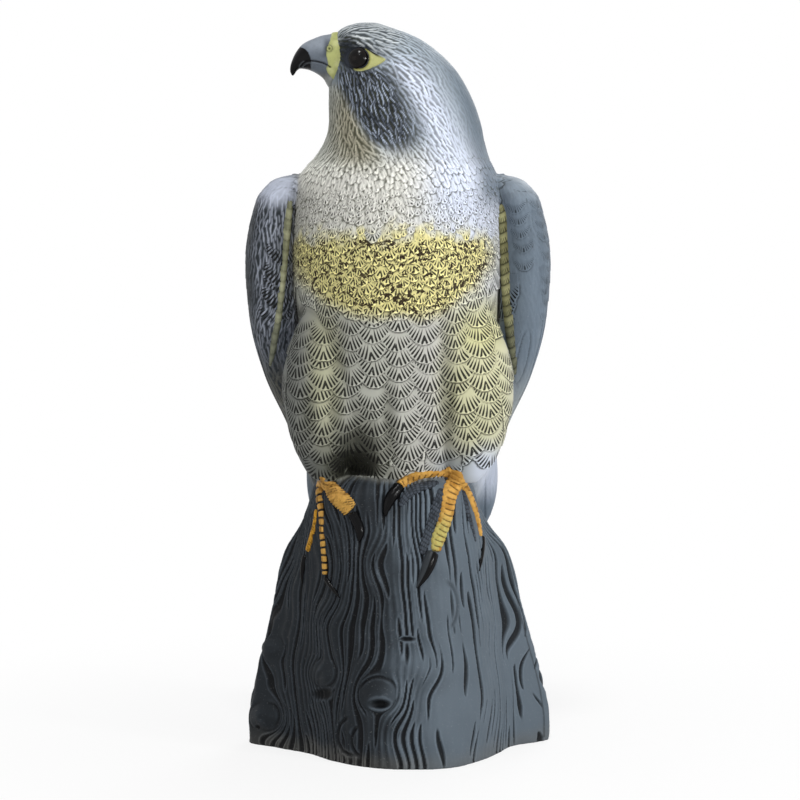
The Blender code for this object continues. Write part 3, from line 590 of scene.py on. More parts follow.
@dataclass
class Skin:
    """The fine skin of the whole figure and what is worked out for each of its vertices."""

    voxel: float = 1.25 * MM
    blend: float = 1.4 * MM
    cell: float = 6 * MM
    relax_steps: int = 10
    # How far each vertex goes towards its neighbours' middle and back again
    pulls: tuple = (0.55, -0.50)
    forms: dict = field(default_factory=lambda: {
        Part.TORSO: Torso(), Part.LEFT_SIDE_WING: wing(-1), Part.RIGHT_SIDE_WING: wing(1),
        Part.LEFT_SIDE_THIGH: thigh(-1), Part.RIGHT_SIDE_THIGH: thigh(1), Part.TAIL: tail(), Part.STUMP: Stump(),
    })

    def build(self) -> bpy.types.Object:
        """Join the forms, blend them and return the fine skin as one object."""
        obj = lofted("skin", *(form.rings() for form in self.forms.values()))
        remesh = obj.modifiers.new("join", "REMESH")
        remesh.mode = "VOXEL"
        remesh.voxel_size = self.voxel
        settle(obj)
        self.relax(obj.data)
        finer = obj.modifiers.new("finer", "SUBSURF")
        finer.levels = finer.render_levels = 1
        settle(obj)
        self.obj = obj
        self.measure()
        return obj

    def relax(self, mesh: bpy.types.Mesh) -> None:
        """Smooth the joined forms without shrinking them."""
        points = points_of(mesh)
        ends = read(mesh.edges, "vertices", 2, np.int64)
        count = np.bincount(ends.ravel(), minlength=len(points))[:, None]
        for step in range(2 * self.relax_steps):
            total = np.column_stack([
                np.bincount(ends[:, 0], points[ends[:, 1], n], len(points))
                + np.bincount(ends[:, 1], points[ends[:, 0], n], len(points)) for n in range(3)])
            points = points + self.pulls[step % 2] * (total / count - points)
        move_to(mesh, points)

    def measure(self) -> None:
        """Read the skin's places and normals, its places on the front sheet and its parts."""
        mesh = self.obj.data
        self.points = points_of(mesh)
        self.normals = normals_of(mesh)
        self.ends = read(mesh.edges, "vertices", 2, np.int64)
        self.noise = Noise(7)
        self.across, self.down = SHEET.places(self.points)
        self.side_across, self.side_down = SHEET.places(near_side(self.points))
        gaps = np.column_stack([np.abs(form.gap(self.points)) for form in self.forms.values()])
        weights = np.exp(-gaps / self.blend)
        self.weights = weights / np.maximum(weights.sum(1), 1e-9)[:, None]
        self.main = np.argmax(self.weights, axis=1)
        self.cells = Cells(self.points, self.cell)
        self.tree = BVHTree.FromObject(self.obj, bpy.context.evaluated_depsgraph_get())

    def share(self, *parts: Part) -> np.ndarray:
        """Return how much each vertex belongs to the parts, 0 to 1."""
        return sum(self.weights[:, part.value] for part in parts)

    def scatter(self, wanted: np.ndarray, spacing: np.ndarray, seed: int) -> list[int]:
        """Choose well-spaced vertices.

        Args:
            wanted: Which vertices may be chosen.
            spacing: The least distance to the next one, for each vertex.
            seed: Seed of the order in which they are tried.

        Returns:
            The chosen vertices, from the lowest up.
        """
        order = np.random.default_rng(seed).permutation(np.flatnonzero(wanted))
        free = np.zeros(len(self.points), dtype=bool)
        free[order] = True
        chosen = []
        for index in order:
            if not free[index]:
                continue
            chosen.append(int(index))
            near = self.cells.near(self.points[index], spacing[index])
            close = np.linalg.norm(self.points[near] - self.points[index], axis=1) < spacing[index]
            free[near[close]] = False
        return sorted(chosen, key=lambda index: self.points[index, 2])

    def hollows(self, height: np.ndarray, steps: int) -> np.ndarray:
        """Return how far each vertex of a relief lies below the relief round it."""
        first, second = self.ends.T
        size = len(height)
        count = np.bincount(self.ends.ravel(), minlength=size)
        around = height
        for _ in range(steps):
            around = np.bincount(first, around[second], size) + np.bincount(second, around[first], size)
            around = around / count
        return around - height

    def seen(self, across: float, down: float) -> tuple[np.ndarray, np.ndarray] | None:
        """Return the place and normal that show at a place on the front sheet."""
        start, way = SHEET.ray(across, down)
        place, normal, _, _ = self.tree.ray_cast(start, way)
        if place is None:
            return None
        return np.array(place), np.array(normal)


@dataclass(frozen=True)
class LaidLine:
    """A line drawn on the front sheet and laid on the skin: places and half widths, in steps."""

    points: tuple
    spacing: float = 0.5 * MM

    def rows(self, skin: Skin) -> tuple[np.ndarray, ...]:
        """Lay the line on the skin.

        Args:
            skin: The figure's fine skin.

        Returns:
            Places, outward normals, ways along the line, half widths and the run in steps.
        """
        fine = smooth_rows(self.points, 12)
        run = np.concatenate([[0.0], np.cumsum(np.hypot(*np.diff(fine[:, :2], axis=0).T))])
        even = np.linspace(0.0, run[-1], max(int(run[-1] * SHEET.step / self.spacing), 12))
        across, down, half = (np.interp(even, run, fine[:, n]) for n in range(3))
        places, normals = [], []
        for u, v in zip(across, down):
            found = skin.seen(u, v)
            if found is None:
                found = (places[-1], normals[-1])
            places.append(found[0])
            normals.append(found[1])
        places, normals = self.evened(np.array(places), 4), unit(self.evened(np.array(normals), 9))
        ways = np.gradient(places, axis=0)
        ways = unit(ways - normals * (ways * normals).sum(1)[:, None])
        return places, normals, ways, half * SHEET.step, even

    @staticmethod
    def evened(values: np.ndarray, reach: int) -> np.ndarray:
        """Average each row with its neighbours, twice."""
        for _ in range(2):
            padded = np.vstack([np.repeat(values[:1], reach, 0), values, np.repeat(values[-1:], reach, 0)])
            total = np.cumsum(np.vstack([np.zeros((1, values.shape[1])), padded]), axis=0)
            values = (total[2 * reach + 1:] - total[:-2 * reach - 1]) / (2 * reach + 1)
        return values


class Grid:
    """A tube of rings as it is shaped: its run, its turn and what its finish reads."""

    def __init__(self, skin: Skin, line: LaidLine, sides: int, rise: float, sink: float) -> None:
        """Lay the rings.

        Args:
            skin: The figure's fine skin.
            line: The line that the tube follows.
            sides: How many points each ring has.
            rise: The tube's height above its middle, as a share of its half width.
            sink: How far its middle lies below the skin, as a share of its half width.
        """
        places, normals, ways, half, run = line.rows(skin)
        turn = np.linspace(0.0, 2 * math.pi, sides, endpoint=False)
        rows = len(places)
        self.turn = np.tile(turn, rows)
        self.run = np.repeat(run, sides)
        self.half = np.repeat(half, sides)
        self.middle = np.repeat(places - normals * (half * sink)[:, None], sides, axis=0)
        side = np.cross(ways, normals)
        self.arm = (np.repeat(side, sides, axis=0) * np.cos(self.turn)[:, None]
                    + np.repeat(normals, sides, axis=0) * (rise * np.sin(self.turn))[:, None])
        self.arm *= self.half[:, None]
        self.sides = sides
        self.size = np.ones(rows * sides)
        self.values: dict[str, np.ndarray] = {}

    def object(self, name: str) -> bpy.types.Object:
        """Return the shaped tube as an object with its values."""
        points = self.middle + self.arm * self.size[:, None]
        obj = lofted(name, list(points.reshape(-1, self.sides, 3)))
        for key, value in self.values.items():
            keep_values(obj.data, key, value)
        return obj


def dress_in(obj: bpy.types.Object, finish: bpy.types.Material) -> None:
    """Give an object one finish."""
    obj.data.materials.clear()
    obj.data.materials.append(finish)


def mount(obj: bpy.types.Object, finish: bpy.types.Material, node: str = "front_shell") -> None:
    """Give a piece its finish and let it ride on the figure in place of a node."""
    dress_in(obj, finish)
    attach(obj, "figure")
    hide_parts(node)
    LOG.info("piece %s: %d faces", obj.name, len(obj.data.polygons))


class Coat:
    """Feathers laid over the skin like shingles, from the lowest up: each covers those below it."""

    seed: int = 11
    # How far behind its middle a feather's root lies, as a share of its length
    root: float = 0.58

    def __init__(self, skin: Skin) -> None:
        """Start with a bare skin."""
        count = len(skin.points)
        self.skin = skin
        self.height, self.barb, self.groove, self.edge = np.zeros((4, count))
        self.ridge, self.tone = np.full((2, count), 0.5)
        self.owner = np.zeros(count, dtype=np.int64)
        self.count = 0
        self.random = np.random.default_rng(self.seed)

    def lay(self, place: np.ndarray, normal: np.ndarray, way: np.ndarray, kind: FeatherKind,
            size: float = 1.0) -> None:
        """Lay one feather.

        Args:
            place: Where its middle lies.
            normal: The skin's normal there.
            way: The way its tip points.
            kind: Its kind.
            size: Its size, as a share of its kind's.
        """
        half = kind.width * MM * size / 2
        length = kind.length * MM * size
        way = unit(way - normal * (way @ normal))
        side = np.cross(normal, way)
        near = self.skin.cells.near(place, max(half, length * 0.62))
        away = self.skin.points[near] - place
        along = away @ way + self.root * length
        across = away @ side
        keep = ((np.abs(across) < half) & (along > 0) & (along < length)
                & (self.skin.normals[near] @ normal > 0.2) & (np.abs(away @ normal) < 0.5 * length))
        near, along, across = near[keep], along[keep], across[keep]
        share = along / length
        sideways = np.abs(across) / half
        ahead = length * (1 - kind.round_tip * sideways ** 2.3) - along
        inside = ease(-0.25 * MM, 0.30 * MM, ahead) * ease(0.0, 0.30 * MM, half - np.abs(across))
        height = kind.lift * MM * size * (0.25 + 0.75 * share) * (1 - kind.crown * sideways ** 2)
        height = height + kind.shaft * MM * bell(across, 0.45 * MM) * share
        self.height[near] += inside * (height - self.height[near])
        wins = inside > 0.5
        near, along, across, share, ahead = near[wins], along[wins], across[wins], share[wins], ahead[wins]
        self.ridge[near] = share * (1 - 0.25 * sideways[wins] ** 2)
        self.tone[near] = self.random.random()
        self.edge[near] = bell(ahead, 0.9 * MM)
        self.count += 1
        self.owner[near] = self.count
        self.groove[near] = 0.0
        if kind.barb:
            origin = length * (1 - kind.fan)
            spread = np.degrees(np.arctan2(across, np.maximum(along - origin, 0.02 * length)))
            self.barb[near] = np.abs(spread) / kind.barb - kind.slope * along / length
            self.groove[near] = (kind.grooved * ease(0.42, 0.86, share + 0.30 * sideways[wins] ** 2)
                                 * ease(0.05 * MM, 0.45 * MM, ahead) * ease(0.02, 0.16, (along - origin) / length)
                                 * ease(0.0, 0.012, np.abs(spread) / 90.0))

    def part_edges(self) -> np.ndarray:
        """Stop the barbs at each feather's edge and return how deep each vertex lies under one, which sets the
        painted shade below each rim.
        """
        first, second = self.skin.ends.T
        differ = self.owner[first] != self.owner[second]
        first, second = first[differ], second[differ]
        self.groove[first] = self.groove[second] = 0.0
        drop = self.height[first] - self.height[second]
        under = np.zeros(len(self.height))
        np.maximum.at(under, np.where(drop < 0, first, second), np.abs(drop))
        return ease(0.06 * MM, 0.55 * MM, under)


@dataclass(frozen=True)
class Tufts:
    """Short raised strokes that overlap, as combed plumes do: the highest one at each vertex shows."""

    length: float = 8.4 * MM
    width: float = 0.60 * MM
    spacing: float = 2.35 * MM
    sway: float = 0.20
    seed: int = 3

    def lay(self, skin: Skin, wanted: np.ndarray, way_at: Callable[[np.ndarray], np.ndarray]) -> np.ndarray:
        """Lay the strokes along a flow.

        Args:
            skin: The figure's fine skin.
            wanted: Which vertices may carry the middle of a stroke.
            way_at: Gives the flow's way at the vertices that are chosen.

        Returns:
            For each vertex, 1 on a stroke's crest and 0 between the strokes.
        """
        chosen = np.array(skin.scatter(wanted, np.full(len(skin.points), self.spacing), self.seed))
        random = np.random.default_rng(self.seed)
        random_rows = zip(random.normal(0.0, self.sway, len(chosen)), random.uniform(0.7, 1.3, len(chosen)),
                          random.normal(0.0, 0.5, len(chosen)), random.uniform(0.65, 1.0, len(chosen)))
        top = np.zeros(len(skin.points))
        for index, way, (sway, size, bend, rise) in zip(chosen, way_at(chosen), random_rows):
            normal = skin.normals[index]
            way = way + sway * np.cross(normal, way)
            way = unit(way - normal * (way @ normal))
            near = skin.cells.near(skin.points[index], 0.5 * size * self.length)
            away = skin.points[near] - skin.points[index]
            along = away @ way / (0.5 * size * self.length)
            across = away @ np.cross(normal, way) / self.width + bend * (along ** 2 - 0.3)
            top[near] = np.maximum(top[near], rise * bell(across, 1.0) * ease(1.0, 0.5, np.abs(along)))
        return top


@dataclass(frozen=True)
class Bark:
    """Long wavy grooves that run up the stump, part round its knots, and the knots themselves."""

    depth: float = 1.5 * MM
    swell: float = 0.30 * MM
    lines: int = 94
    # Waves of the grooves: how many grooves wide, lumps round the stump and height of a lump
    waves: tuple = ((4.3, 1.6, 0.036), (2.1, 4.0, 0.019))
    # From what height a bump, in millimetres, parts the grooves, and how strongly
    parting: tuple = (1.7, 0.16)
    # Bumps, and hollows below zero: across, down, half width and half height on the sheet, millimetres
    bumps: tuple = (
        (378, 694, 18, 17, 2.6), (380, 704, 11, 6, -4.2), (264, 716, 14, 13, 2.8), (258, 727, 3, 3, -1.0),
        (323, 673, 12, 13, 2.2), (322, 694, 11, 7, -2.2), (273, 648, 11, 10, 2.0), (407, 639, 9, 3.0, -2.0),
        (407, 653, 2.6, 12, -1.5),
    )
    # Curved cuts: across, down, half width and half height, start and end of turn, millimetres
    cuts: tuple = (
        (378, 696, 20, 19, 15, 172, 1.1), (352, 736, 15, 19, 95, 285, 1.5), (361, 741, 10, 15, 100, 275, 1.6),
        (445, 606, 13, 24, -75, 95, 0.7), (264, 716, 15, 16, -60, 70, 0.9),
    )

    def lanes(self, skin: Skin, front: np.ndarray) -> np.ndarray:
        """Return each vertex's place across the run of the grooves, in grooves round the stump."""
        x, y, z = skin.points.T
        turn = np.arctan2(x, -y)
        bend = sum(size * (skin.noise.at(np.sin(turn) * far + 9, np.cos(turn) * far + 5, z / high) - 0.5)
                   for size, far, high in self.waves)
        least, push = self.parting
        for across, down, wide, high, height in self.bumps:
            if height > least:
                dx, size = skin.across - across, max(wide, high)
                far = np.maximum(dx ** 2 + (skin.down - down) ** 2, size ** 2)
                bend = bend - push * dx * size ** 2 / far * np.exp(-far / (3.2 * size) ** 2) * front
        return turn / (2 * math.pi) * self.lines + bend

    def raise_on(self, skin: Skin) -> tuple[np.ndarray, np.ndarray]:
        """Work out the bark's height and the painted shade of its grooves and hollows.

        Args:
            skin: The figure's fine skin.

        Returns:
            The height in metres and the share of painted shade in the grooves and hollows, for each vertex.
        """
        front = ease(0.02, 0.0, skin.points[:, 1])
        lane = self.lanes(skin, front)
        number = np.floor(lane) % self.lines
        off = np.abs(lane - np.floor(lane) - 0.5)
        sparse = ease(378, 440, skin.across) * ease(0.03, -0.01, skin.points[:, 1])
        spell = skin.noise.at(number * 7.31, skin.points[:, 2] / 0.021 + number * 3.7, number * 1.9)
        spell = ease(0.34 + 0.12 * sparse, 0.62 + 0.10 * sparse, spell)
        half = 0.05 + 0.20 * spell
        cut = ease(half + 0.11, half - 0.09, off) * ease(0.0, 0.25, spell)
        height = self.swell * np.cos(2 * math.pi * (lane + 0.5)) * (1 - 0.75 * sparse)
        dark = np.zeros(len(lane))
        calm = np.ones(len(lane))
        for across, down, wide, high, rise in self.bumps:
            far = np.hypot((skin.across - across) / wide, (skin.down - down) / high)
            dome = ease(1.20, 0.20, far) * front
            height = height + rise * MM * dome
            # Deep hollows get painted shade
            dark = np.maximum(dark, (rise < -0.9) * ease(1.05, 0.45, far) * front)
            calm = calm * ease(0.90, 1.25, far + (1 - front))
        for across, down, wide, high, start, end, depth in self.cuts:
            dx, dz = (skin.across - across) / wide, (down - skin.down) / high
            gap = (np.hypot(dx, dz) - 1) * min(wide, high)
            middle, arc = (start + end) / 2, (end - start) / 2
            away = np.abs((np.degrees(np.arctan2(dz, dx)) - middle + 180) % 360 - 180)
            run = ease(arc, arc - 35, away) * front
            line = bell(gap, 1.5) * run
            height = height - depth * MM * line
            # The cuts get painted shade too
            dark = np.maximum(dark, 0.75 * min(depth, 1.0) * line)
            calm = calm * (1 - bell(gap, 4.0) * run)
        return height - self.depth * cut * calm, np.clip(np.maximum(cut * calm, dark), 0.0, 1.0)


@dataclass
class Plumage:
    """Where each kind of feather lies and which way it points."""

    chest: FeatherKind = FeatherKind(6.2, 7.8, 1.20, round_tip=0.6, crown=0.5, barb=15.0, fan=0.85,
                                     grooved=0.62, slope=1.0)
    bib: FeatherKind = FeatherKind(7.8, 9.0, 1.25, round_tip=0.5, crown=0.3, barb=15.0, fan=0.85,
                                   grooved=0.90, slope=1.5)
    belly: FeatherKind = FeatherKind(20.6, 19.6, 1.40, round_tip=0.46, crown=0.30, barb=7.4, fan=1.10,
                                     shaft=0.05, slope=2.4)
    covert: FeatherKind = FeatherKind(12.5, 12.5, 0.48, round_tip=0.5, barb=10.0, fan=0.7, grooved=0.42)
    back: FeatherKind = FeatherKind(13.0, 15.0, 0.62, round_tip=0.45, barb=9.0, fan=0.7, grooved=0.35, shaft=0.1)
    strokes: Tufts = Tufts()
    back_spacing: float = 6.6 * MM
    back_top: float = 0.345
    covert_foot: float = 0.232
    # Steps down the sheet: the chest's scales from top to foot, the bib's top and how unevenly it starts
    chest_rows: tuple = (164, 316)
    bib_top: float = 238
    bib_stray: float = 5.0
    # Curve under the bib: its middle, half width, the height of its ends and its depth
    bib_curve: tuple = (392, 102, 256, 60)
    # Rows of the belly's fans: the first, the step, and the last ones on the left and the right
    fan_rows: tuple = (252.6, 15.4, 474.0, 460.0)
    # Bare lids round the eye, where no strokes run
    lid: Spot = Spot(361.5, 58.5, 18.0, 14.0, 0.10)
    lid_corner: Spot = Spot(376, 58, 12.0, 8.0, 0.15)
    # Way of the strokes on the head and neck: across, down, and the way they point
    flow: tuple = (
        (345, 30, 0.90, -0.35), (365, 26, 1.00, 0.00), (400, 32, 0.95, 0.30), (430, 52, 0.80, 0.60),
        (455, 85, 0.55, 0.83), (470, 120, 0.30, 0.95), (480, 160, 0.35, 0.94), (346, 45, 0.90, 0.20),
        (365, 40, 0.88, 0.45), (400, 60, 0.85, 0.50), (395, 72, 0.60, 0.80), (345, 90, 0.25, 0.97),
        (360, 90, 0.30, 0.95), (380, 110, 0.40, 0.92), (400, 130, 0.35, 0.94), (420, 110, 0.50, 0.86),
        (334, 110, 0.00, 1.00), (334, 135, -0.10, 1.00), (350, 140, 0.50, 0.86), (370, 150, 0.60, 0.80),
        (320, 155, -0.45, 0.90), (305, 170, -0.60, 0.80), (340, 170, -0.10, 1.00), (380, 185, 0.25, 0.97),
        (430, 185, 0.40, 0.92), (462, 205, 0.30, 0.95),
    )
    # Columns of fans on the belly: across at two heights on the front sheet
    columns: tuple = ((277, 272), (301, 297), (325, 320), (349, 345), (371, 374), (397, 404), (426, 435),
                      (455, 467), (481, 489), (505, 512))
    column_heights: tuple = (345.0, 430.0)
    wing_fans: tuple = ((524, 262), (523, 244), (520, 230), (518, 217), (515, 205))
    # Dents between the columns: across, down, half width and half height on the sheet, millimetres, and share of
    # painted shade
    dents: tuple = ((388, 438, 8, 52, 1.6, 0.55), (447, 392, 7, 62, 1.3, 0.50), (337, 412, 9, 56, 1.4, 0.50),
                    (308, 417, 7, 22, 1.2, 0.45), (357, 453, 34, 35, 0.9, 0.76), (354, 466, 31, 23, 0.6, 1.0))

    def dent(self, skin: Skin) -> tuple[np.ndarray, np.ndarray]:
        """Return how deep the dents between the columns are, in metres, and how much painted shade they get, 0 to 1.
        """
        depth = dark = np.zeros(len(skin.points))
        where = ease(0.0, 0.5, -skin.normals[:, 1]) * (1 - skin.share(Part.STUMP))
        for across, down, wide, high, deep, black in self.dents:
            spot = Spot(across, down, wide, high, 0.75).at(skin.across, skin.down) * where
            depth = np.maximum(depth, deep * MM * spot)
            dark = np.maximum(dark, black * spot)
        return depth, dark

    def dress(self, skin: Skin) -> Coat:
        """Lay every feather on the skin.

        Args:
            skin: The figure's fine skin.

        Returns:
            The coat of feathers.
        """
        coat = Coat(skin)
        torso = skin.main == Part.TORSO.value
        wings = np.isin(skin.main, [part.value for part in WINGS])
        height = skin.points[:, 2]
        back = torso & (skin.normals[:, 1] > 0.1) & (height < self.back_top)
        self.lay_many(coat, back, np.full(len(height), self.back_spacing), self.back, seed=9)
        outer = wings & (height > self.covert_foot) & (skin.normals[:, 1] > -0.45)
        self.lay_many(coat, outer, (5.4 + 1.8 * ease(0.325, 0.250, height)) * MM, self.covert, seed=8)
        for across, down in self.wing_fans:
            found = skin.seen(across, down)
            coat.lay(found[0], found[1], np.array([0.15 * np.sign(across - 400), 0.0, -1.0]), self.covert)
        self.lay_belly(coat)
        self.lay_chest(coat)
        return coat

    @staticmethod
    def lay_many(coat: Coat, wanted: np.ndarray, spacing: np.ndarray, kind: FeatherKind, seed: int) -> None:
        """Lay feathers of one kind, tips down and slightly outwards, over part of the skin."""
        for index in coat.skin.scatter(wanted, spacing, seed):
            place = coat.skin.points[index]
            slant = place[0] * 3 + coat.random.normal(0.0, 0.08)
            coat.lay(place, coat.skin.normals[index], np.array([slant, 0.15, -1.0]), kind,
                     0.85 + 0.3 * coat.random.random())

    def way_at(self, skin: Skin, chosen: np.ndarray) -> np.ndarray:
        """Return which way the fine strokes run at some vertices."""
        anchors = np.array(self.flow, dtype=float)
        across, down = skin.side_across[chosen, None], skin.side_down[chosen, None]
        weight = ((anchors[:, 0] - across) ** 2 + (anchors[:, 1] - down) ** 2 + 30.0) ** -1.6
        head = unit(np.column_stack([weight @ anchors[:, 2], np.zeros(len(chosen)), -(weight @ anchors[:, 3])]))
        place = skin.points[chosen]
        turn = 0.7 * (skin.noise.at(place[:, 0] / 0.012, place[:, 2] / 0.012) - 0.5)
        low = np.column_stack([3.2 * place[:, 0] + turn, np.full(len(chosen), 0.1), np.full(len(chosen), -1.0)])
        share = ease(175, 235, skin.side_down[chosen])[:, None]
        return head * (1 - share) + low * share + 0.10 * np.column_stack([turn, turn, turn])

    def comb(self, skin: Skin) -> tuple[np.ndarray, np.ndarray]:
        """Return the fine strokes of head, neck, wings and flanks, 0 to 1, and where there are any."""
        across, down = skin.side_across, skin.side_down
        torso = skin.share(Part.TORSO)
        face = (across < 338) & (down > 30) & (down < 86)
        belly = (skin.down > 262) & (skin.down < 474) & (skin.normals[:, 1] < 0.2)
        wanted = (skin.share(Part.STUMP) < 0.5) & ~face & ~((torso > 0.5) & belly)
        lid = np.maximum(self.lid.at(across, down) * (down < 80), self.lid_corner.at(across, down)) * torso
        front = skin.share(*BODY) * ease(0.2, -0.2, skin.normals[:, 1])
        chest = 0.45 * ease(160, 206, skin.down) + 0.20 * ease(206, 246, skin.down) + 0.35 * ease(292, 312, skin.down)
        where = (1 - lid) * (1 - front * chest) * wanted * (1 - skin.share(Part.STUMP))
        where = where * (1 - 0.72 * torso * ease(34, -6, left_of(NAPE, across, down)))
        where = where * (1 - 0.7 * ease(0.0, 0.3, skin.normals[:, 1]) * ease(185, 235, down))
        return self.strokes.lay(skin, wanted, lambda chosen: self.way_at(skin, chosen)), where

    def lay_chest(self, coat: Coat) -> None:
        """Lay the small scales of the chest and the larger ones of the bib below it."""
        skin = coat.skin
        across, down = skin.across, skin.down
        top, foot = self.chest_rows
        wanted = (skin.main == Part.TORSO.value) & (skin.normals[:, 1] < 0.25) & (down > top) & (down < foot)
        middle, half, ends, depth = self.bib_curve
        grow = ease(175, 300, down)
        for index in skin.scatter(wanted, (3.5 + 0.9 * grow) * MM, seed=5):
            u, v = across[index], down[index]
            if v > ends + depth * math.sqrt(max(1 - ((u - middle) / half) ** 2, 0.0)):
                continue
            slant = (u - 385) / 300 + coat.random.normal(0.0, 0.45)
            kind = self.bib if v + coat.random.normal(0.0, self.bib_stray) > self.bib_top else self.chest
            size = 0.72 + 0.22 * ease(160, 200, v) + 0.30 * coat.random.random() ** 2 + 0.15 * grow[index]
            coat.lay(skin.points[index], skin.normals[index], np.array([slant, 0.0, -1.0]), kind, size)

    def lay_belly(self, coat: Coat) -> None:
        """Lay the columns of fans on the belly and thighs."""
        high, low = self.column_heights
        first, step, last, last_right = self.fan_rows
        columns = np.array(self.columns, dtype=float)
        between = (columns[1:] + columns[:-1]) / 2
        for layer in (between, columns):
            places = []
            for number, (upper, lower) in enumerate(layer):
                for down in np.arange(first + step / 2 * (number % 2), last if upper < 440 else last_right, step):
                    across = upper + (lower - upper) * (down - high) / (low - high)
                    places.append((down + coat.random.normal(0.0, 1.7), across + coat.random.normal(0.0, 2.0)))
            for down, across in sorted(places, reverse=True):
                found = coat.skin.seen(across, down)
                if found is not None and found[1][1] < 0.3:
                    slant = (across - 388) / 600 + coat.random.normal(0.0, 0.12)
                    coat.lay(found[0], found[1], np.array([slant, 0.0, -1.0]), self.belly,
                             0.88 + 0.20 * coat.random.random())


@dataclass
class Quills:
    """The long feathers of the wings' lower half and of the tail, as low steps side by side."""

    wing_pitch: float = 6.4 * MM
    tail_pitch: float = 8.2 * MM
    lift: float = 0.80 * MM
    shaft_lift: float = 0.16 * MM
    # Where a quill's shaft runs, as a share of its width
    shaft: float = 0.42

    def raise_on(self, skin: Skin) -> tuple[np.ndarray, np.ndarray, np.ndarray]:
        """Work out the quills' height, barb count and share.

        Args:
            skin: The figure's fine skin.

        Returns:
            The height in metres, the place along the barbs and the share, for each vertex.
        """
        height, barb, share = np.zeros((3, len(skin.points)))
        x, _, z = skin.points.T
        for part in (*WINGS, Part.TAIL):
            if part is Part.TAIL:
                pitch, where = self.tail_pitch, 1.0
                lane = np.abs(x - skin.forms[part].x) / pitch
            else:
                pitch, where = self.wing_pitch, ease(0.262, 0.236, z)
                lane = (skin.forms[part].own_axes(skin.points)[1] + 0.12 * (z - 0.11) + 0.030) / pitch
            own = skin.share(part) * where
            place = lane - np.floor(lane)
            rise = ease(0.0, 0.10, place) * (1 - 0.75 * place)
            off = (place - self.shaft) * pitch
            height += own * (self.lift * rise + self.shaft_lift * bell(off, 0.5 * MM))
            barb = np.where(own > 0.5, (z - 1.1 * np.abs(off)) / (1.7 * MM), barb)
            share = np.maximum(share, own)
        return height, barb, share


@dataclass
class Relief:
    """The relief beside the feathers, a value for each vertex."""

    stroke: np.ndarray
    where: np.ndarray
    quills: np.ndarray
    # How much painted shade the bark's grooves and hollows and the dents between the belly's columns get
    dark: np.ndarray
    dent_shade: np.ndarray
    # How far each vertex lies in a hollow, for painted shade, and on a crest, for painted highlight
    low: np.ndarray
    high: np.ndarray


